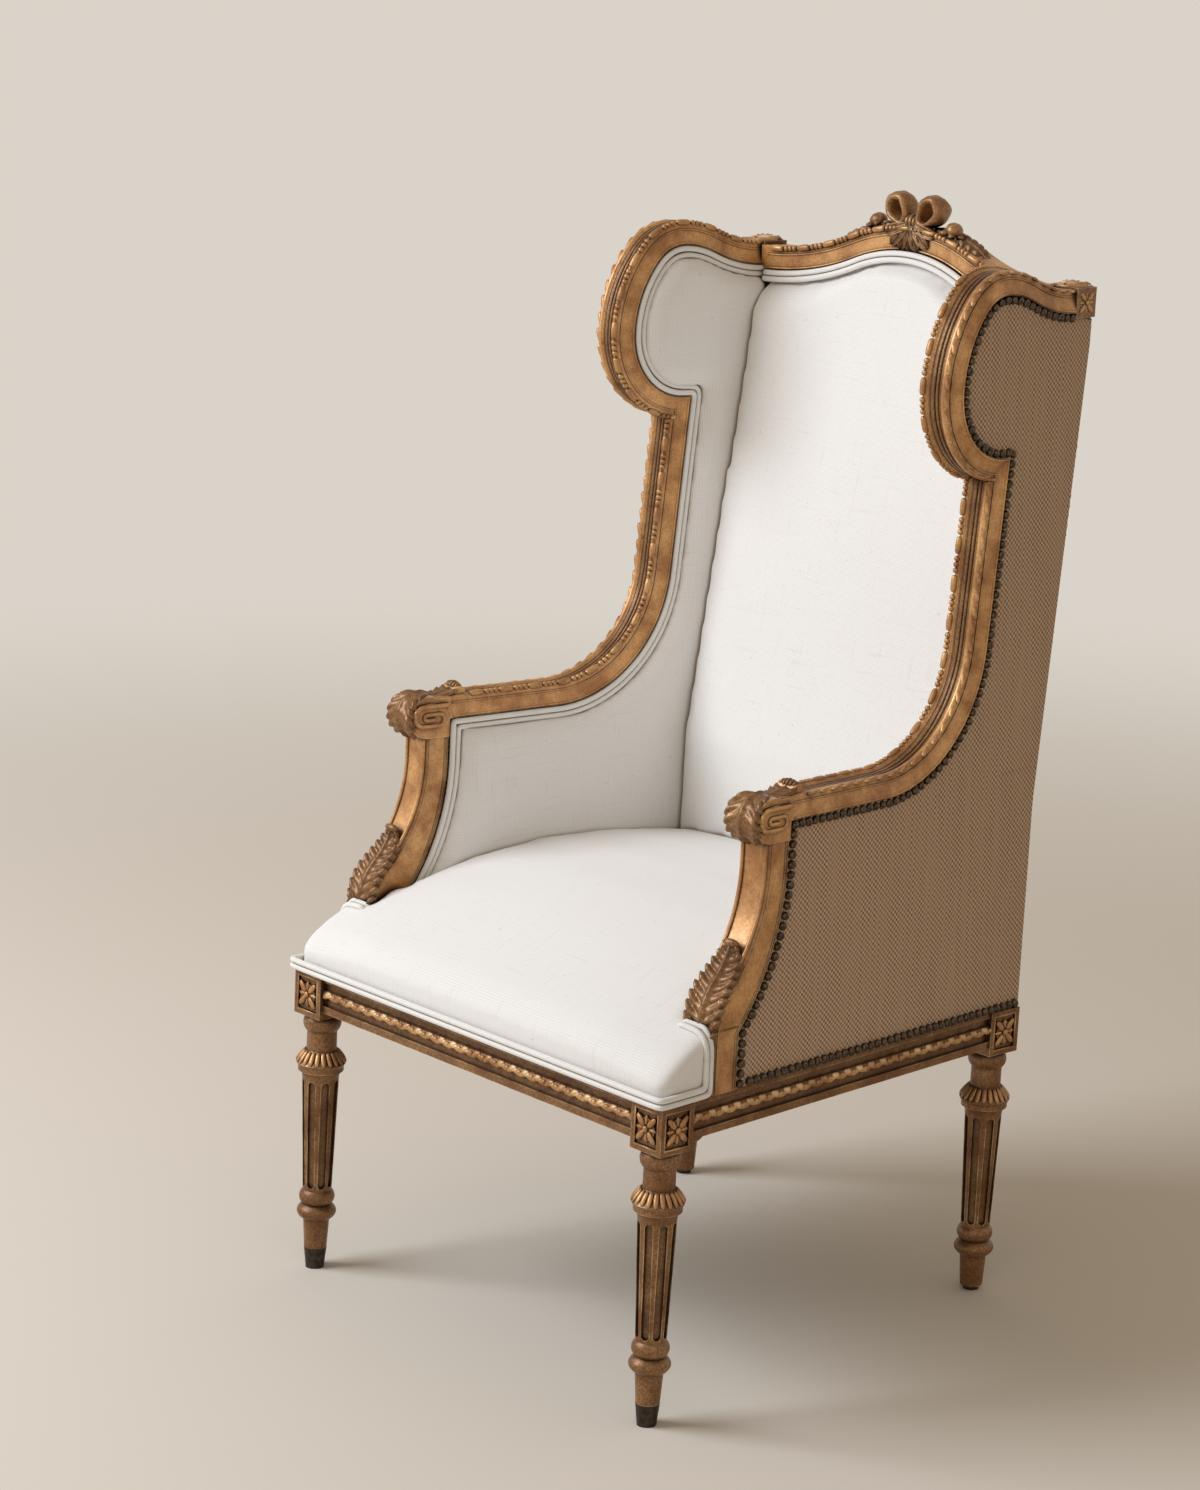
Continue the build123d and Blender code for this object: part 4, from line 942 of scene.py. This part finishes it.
# arm scroll with its leaf, and the post below
scroll = {
    "at": (114.0, 602.0), "half": (26.0, 23.0), "top": 62.0, "girth": 24.5, "edge": 19.5, "leaf": (80.0, 49.0, 7, 4.4),
    "armLeaf": (38.0, 32.0, 4, 3.0), "armLeafAt": (120.0, 620.5), "armLeafRise": 0.005625,
    "volute": (138.0, 614.6), "voluteOut": 21.6, "band": (2.6, 2.8),
    "moves": [(34, 0), (10.4, 180), (21, 0), (6.2, 180), (17, 0), (3.0, 180), (11, 0)],
    "knob": (158.0, 629.5),
    "knobRings": ((-8.0, 4.6), (-4.0, 5.6), (0.0, 6.2), (4.0, 5.6), (8.0, 4.6)), "knobHalf": 2.8,
}


def armScrolls(side, label):
    shell = newShell()

    def overScroll(a, b, c):  # from the top of the scroll forwards and down
        angle = radians(scroll["top"]) + a / scroll["girth"]
        reach = c - max(0.0, abs(b) - scroll["edge"])
        (back, level), (long, tall) = scroll["at"], scroll["half"]
        return onSide(side, back + (long + reach) * cos(angle), level + (tall + reach) * sin(angle), b)

    def overArm(a, b, c):  # back along the arm and up to the curled tip
        back, level = scroll["armLeafAt"]
        return onSide(side, back + a, level + scroll["armLeafRise"] * a ** 2 + c, b)

    addLeaf(shell, overScroll, *scroll["leaf"])
    addLeaf(shell, overArm, *scroll["armLeaf"])
    place = edgeFrame(side, Vector(scroll["knob"]), Vector((1, 0)), 0)
    for b, size in scroll["knobRings"]:
        addEgg(shell, place, (0, b, 0), (size, scroll["knobHalf"], size))
    newPiece(label + "ScrollLeaf", shell, "giltWorn")
    shell = newShell()
    for out in (-1, 1):
        run = trail(scroll["volute"], 180, scroll["moves"])
        sideTube(shell, side, run, out * scroll["voluteOut"], scroll["band"][1], scroll["band"][0], 8)
    newPiece(label + "Volutes", shell, "gilt")


def postFront():
    return trail((post["front"], chair["railTop"]), 90, [
        (post["baseTop"] - chair["railTop"], 0), (post["lower"], -post["sweep"]),
        (post["upper"], post["sweep"]), (post["neck"], 0),
    ])


postLeaf = {"start": 28.0, "leaf": (126.0, 52.0, 11, 6.4, 4.0), "tipAt": (127.0, 0, 8.0), "tip": (4.6, 11.0, 5.0)}
postTrim = {  # places out of the side and half sizes
    "arris": (14.8, 2.2, 2.0), "fillet": (18.0, 1.0, 1.0), "line": (18.0, 0.9, 0.8), "panel": (11.6, 1.0, 1.0),
    "sunk": 0.4, "filletIn": 5.5, "panelIn": 1.2, "lines": ((-4.6, 44.0), (-1.2, 22.0)), "foot": (50.0, 62.0, 83.0),
    "footLevel": 400.0, "steps": 60,
}


def armPosts(side, label):
    run = postFront()
    length, at = walk(run)
    stops = [at(length * i / postTrim["steps"]) for i in range(postTrim["steps"] + 1)]

    def inside(gap):  # the post's front line moved into its side
        return [point + Vector((heading.y, -heading.x)) * gap for point, heading in stops]

    def trim(points, out, key):
        reach, width, height = postTrim[key]
        sideTube(shell, side, points, out * reach, width, height, 8 if key == "arris" else 6)

    def upPost(a, b, c):
        point, heading = at(a + postLeaf["start"])
        return onSide(side, point.x - heading.y * c, point.y + heading.x * c, b)

    shell = newShell()
    addLeaf(shell, upPost, *postLeaf["leaf"])
    addEgg(shell, upPost, postLeaf["tipAt"], postLeaf["tip"])
    newPiece(label + "PostLeaf", shell, "giltWorn")
    shell = newShell()
    for out in (-1, 1):
        trim([point - Vector((postTrim["sunk"], 0)) for point in run[::2]], out, "arris")
        trim(inside(postTrim["filletIn"]), out, "fillet")
    newPiece(label + "PostFillets", shell, "gilt")
    shell = newShell()
    for out in (-1, 1):  # painted shade: tubes in the darker worn gilt drawn as dark lines for the grooves down the sides, round the foot and along the panel
        for gap, inset in postTrim["lines"]:
            trim(postRun(gap, chair["railTop"] + 1, inset), out, "line")
        trim([Vector((back, postTrim["footLevel"])) for back in postTrim["foot"]], out, "line")
        trim(inside(postTrim["panelIn"]), out, "panel")
    newPiece(label + "PostGrooveShadeLines", shell, "giltWorn")


# rosettes, collars and rail beads
flower = {
    "petal": (8.2, 3.7, 2.4), "petalAt": (10.5, -0.2), "leaf": (5.6, 2.3, 1.8), "leafAt": (8.5, -0.6),
    "button": (3.6, 3.6, 2.6), "buttonOut": 0.8, "panel": (16.1, 18.7), "sunk": -0.4, "line": (0.9, 1.1),
}
cornerBlock = {
    "top": (16.0, 30.5), "dome": (15.5, 19.0, 4.4), "leaf": (26.0, 34.0, 3, 2.6), "leafAt": (-14.0, 2.5),
    "face": (16.0, 15.5), "faceOut": 20.2, "flower": 0.78,
}
collar = {"count": 22, "radius": 21.8, "height": 240.2, "tongue": (8.4, 3.0, 2.2), "slope": (10.6, 14.0)}
railBead = {
    "height": 316.0, "front": -274.2, "out": 15.1, "ends": (23.0, 491.0), "pitch": 19.0,
    "leaf": (8.2, 3.4, 2.6), "turn": 0.42, "pearl": (2.7, 2.9, 2.6),
}


def addRosette(shell, place, grow=1.0):
    for k in range(8):
        turn = pi / 4 * k
        key = "petal" if k % 2 else "leaf"
        reach, lift = flower[key + "At"]
        spot = (reach * grow * cos(turn), reach * grow * sin(turn), lift)
        addEgg(shell, place, spot, [value * grow for value in flower[key]], turn, 6, 8)
    addEgg(shell, place, (0, 0, flower["buttonOut"]), [value * grow for value in flower["button"]], 0, 6, 10)


def legCarving():
    middle = chair["railTop"] - chair["blockHeight"] / 2
    reach = chair["block"] / 2
    shell = newShell()
    for side in (-1, 1):
        front = side * chair["frontSpacing"] / 2
        rear = side * chair["rearSpacing"] / 2
        faces = [
            (onChair(front, -halfDepth - reach, middle), seatAhead),
            (onChair(front + side * reach, -halfDepth, middle), seatAcross * side),
            (onChair(rear + side * reach, halfDepth, middle), seatAcross * side),
        ]
        for centre, out in faces:
            place = faceFrame(centre, seatUp, out)
            addRosette(shell, place)
            wide, tall = flower["panel"]
            corners = ((tall, wide), (tall, -wide), (-tall, -wide), (-tall, wide), (tall, wide))
            frameLine = [place(a, b, flower["sunk"]) for a, b in corners]
            for a, b in zip(frameLine, frameLine[1:]):
                addTube(shell, [a, b], out, *flower["line"], 6)
        corner = Vector((wing["cornerFront"], wing["cornerFoot"]))
        top = edgeFrame(side, corner + Vector(cornerBlock["top"]), Vector((1, 0)), 0)
        addEgg(shell, top, (0, 0, 0), cornerBlock["dome"], 0, 8, 16)
        back, lift = cornerBlock["leafAt"]
        addLeaf(shell, lambda a, b, c: top(a + back, b, c + lift), *cornerBlock["leaf"])
        block = onSide(side, *(corner + Vector(cornerBlock["face"])), cornerBlock["faceOut"])
        addRosette(shell, faceFrame(block, seatUp, outOf(side)), cornerBlock["flower"])
        for x, y in ((front, -halfDepth), (rear, halfDepth)):
            for k in range(collar["count"]):
                turn = 2 * pi * k / collar["count"]
                radial = seatAcross * cos(turn) - seatAhead * sin(turn)
                run, fall = collar["slope"]
                centre = onChair(x, y, collar["height"]) + radial * collar["radius"]
                place = faceFrame(centre, radial * run - seatUp * fall, radial * fall + seatUp * run)
                addEgg(shell, place, (0, 0, 0), collar["tongue"], 0, 6, 8, 0.8)
    newPiece("legCarving", shell, "carved")


def railCarving():
    shell = newShell()
    end = chair["frontSpacing"] / 2 - chair["block"] / 2 - 1
    runs = [([onChair(x, railBead["front"], railBead["height"]) for x in (-end, end)], seatAhead)]
    for side in (-1, 1):
        ends = [onSide(side, u, railBead["height"], railBead["out"]) for u in railBead["ends"]]
        runs.append((ends, outOf(side)))
    for run, out in runs:
        for point, heading in spaced(run, railBead["pitch"] / 1000):
            place = faceFrame(point, heading, out)
            addEgg(shell, place, (-2.5, 0, 0), railBead["leaf"], railBead["turn"], 6, 8, 0.8)
            addEgg(shell, place, (3.0, 0, -0.4), railBead["leaf"], -railBead["turn"], 6, 8, 0.8)
            addEgg(shell, place, (9.5, 0, 0.6), railBead["pearl"], 0, 5, 8)
    newPiece("railRibbonBead", shell, "gilt")


# ribbon bow, fan of leaves and two sprays on the crest
bow = {
    "loopAt": (21.5, 1151.0), "lean": 52.0, "knot": 1140.0,
    "fan": ((-74, 37), (-49, 35), (-24, 30), (1, 27), (26, 30), (51, 35), (76, 37)),
    "rings": [
        (322, 10, 7), (319, 16, 12), (311, 20, 15.5), (302, 20.5, 16), (296, 19, 14.8),
        (293, 16, 12), (293.5, 13, 9), (298, 11.5, 7.5), (316, 9.5, 6), (318, 1, 1),
    ],
    "points": 30, "folds": 5, "foldDepth": 0.045, "drop": 0.24, "sprayStart": 22.0, "spray": (86.0, 28.0, 7, 5.5, -6.0),
    "sprayBehind": 14.0, "budAt": (32.0, -5.0, 8.0), "bud": (9.6, 9.6, 8.8),
    "sepal": (6.5, 3.6, 3.0), "sepalOut": 8.5, "sepalUp": 4.5, "fanLeaf": (15.0, 1, 4.0), "fanDrop": 3.0,
    "knotRings": ((-5.0, 8.0), (0.0, 9.5), (5.0, 8.0)), "knotHalf": (3.6, 9.0), "knotIn": -4.0,
}


def crestBow():
    shell = newShell()
    for side in (-1, 1):
        lean = radians(bow["lean"] if side > 0 else 180 - bow["lean"])
        rings = []
        for y, a, b in bow["rings"]:
            ring = []
            for k in range(bow["points"]):
                turn = 2 * pi * k / bow["points"]
                fold = 1 + bow["foldDepth"] * cos(bow["folds"] * turn + y / 6)
                far = fold * a * cos(turn)
                wide = fold * b * sin(turn) * (1 + bow["drop"] * cos(turn))
                x = far * cos(lean) - wide * sin(lean)
                z = far * sin(lean) + wide * cos(lean)
                ring.append(onChair(side * bow["loopAt"][0] + x, y, bow["loopAt"][1] + z))
            rings.append(ring)
        addRings(shell, rings)
        at = walk(crestRun(-3.0, 200.0))[1]

        def alongTop(a, b, c):
            point, heading = at(a + bow["sprayStart"])
            depth = crestFace(min(point.x, 200.0)) + bow["sprayBehind"] + b
            return onChair(side * (point.x - heading.y * c), depth, point.y + heading.x * c)

        addLeaf(shell, alongTop, *bow["spray"])
        addEgg(shell, alongTop, bow["budAt"], bow["bud"], 0, 8, 12)
        for k in range(6):
            turn = pi / 3 * k
            along, across = (bow["sepalOut"] * way for way in (cos(turn), sin(turn)))
            spot = (bow["budAt"][0] + along, bow["budAt"][1] + across, bow["sepalUp"])
            addEgg(shell, alongTop, spot, bow["sepal"], turn)
    for turn, length in bow["fan"]:
        way = radians(turn)

        def overFace(a, b, c):
            x = a * sin(way) + b * cos(way)
            level = bow["knot"] - bow["fanDrop"] - a * cos(way) + b * sin(way)
            return onChair(x, crestFace(x) - 1.0 - c, level)

        addLeaf(shell, overFace, length, *bow["fanLeaf"])
    face = onChair(0, crestFace(0), bow["knot"])
    place = faceFrame(face, seatUp, seatAhead)
    for b, size in bow["knotRings"]:
        addEgg(shell, place, (0, b, bow["knotIn"]), (size, *bow["knotHalf"]))
    piece = newPiece("ribbonBow", shell, "ribbon")
    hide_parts("crest_bow")


onBoth(sideRows)
crestRows()
onBoth(armScrolls)
onBoth(armPosts)
legCarving()
railCarving()
crestBow()
print("frame carved")

# floor and light
studio = {
    "floor": "#dfd8ce", "far": "#dad3c9", "sky": "#f6e4cb", "skyLevel": 0.44, "lamp": "#f2f7ff",
    "near": 1.2, "reach": 3.6, "half": 40.0, "target": (0, 0, 0.6),
    "lamps": (("key", (-1.8, -2.4, 2.7), 2.0, 115.0), ("fill", (2.6, -2.4, 1.6), 2.4, 8.0)),
}


def lookedAt(tree):  # 1 for what the camera sees, straight or by way of gloss or glass
    seen = addNode(tree, "LightPath")
    both = addNode(tree, "Math", {0: seen.outputs["Is Camera Ray"], 1: seen.outputs["Is Glossy Ray"]})
    return addNode(tree, "Math", {0: both, 1: seen.outputs["Is Transmission Ray"]}, use_clamp=True)


def setStudio():
    finish, tree, skin = newFinish("paleFloorPlaster")
    feed(tree, skin, {"Base Color": studio["floor"], "Roughness": 0.9})
    away = addNode(tree, "VectorMath", {0: addNode(tree, "NewGeometry").outputs["Position"]}, operation="LENGTH")
    reach = {"Value": away.outputs["Value"], "From Min": studio["near"], "From Max": studio["reach"]}
    fade = addNode(tree, "MapRange", reach, interpolation_type="SMOOTHSTEP")
    share = addNode(tree, "Math", {0: fade, 1: lookedAt(tree)}, operation="MULTIPLY")
    glow = addNode(tree, "Emission", {"Color": studio["far"]})
    blend = addNode(tree, "MixShader", {0: share, 1: skin, 2: glow})
    feed(tree, tree.nodes["Material Output"], {"Surface": blend})
    mesh = bpy.data.meshes.new("floor")
    half = studio["half"]
    mesh.from_pydata([(-half, -half, 0), (half, -half, 0), (half, half, 0), (-half, half, 0)], [], [(0, 1, 2, 3)])
    mesh.materials.append(finish)
    floor = newObject("floor", mesh)
    world = bpy.data.worlds.new("studio")
    world.use_nodes = True
    scene.world = world
    tree = world.node_tree
    sky = tree.nodes["Background"]
    feed(tree, sky, {"Color": studio["sky"], "Strength": studio["skyLevel"]})
    wall = addNode(tree, "Background", {"Color": studio["far"]})
    blend = addNode(tree, "MixShader", {0: lookedAt(tree), 1: sky, 2: wall})
    feed(tree, tree.nodes["World Output"], {"Surface": blend})
    for name, at, size, power in studio["lamps"]:
        lamp = bpy.data.lights.new(name, "AREA")
        lamp.size = size
        lamp.energy = power
        lamp.color = paint(studio["lamp"])[:3]
        holder = newObject(name, lamp)
        holder.location = at
        holder.rotation_euler = (Vector(studio["target"]) - Vector(at)).to_track_quat("-Z", "Y").to_euler()
    scene.view_settings.view_transform = "Standard"


setStudio()
print("studio lit")
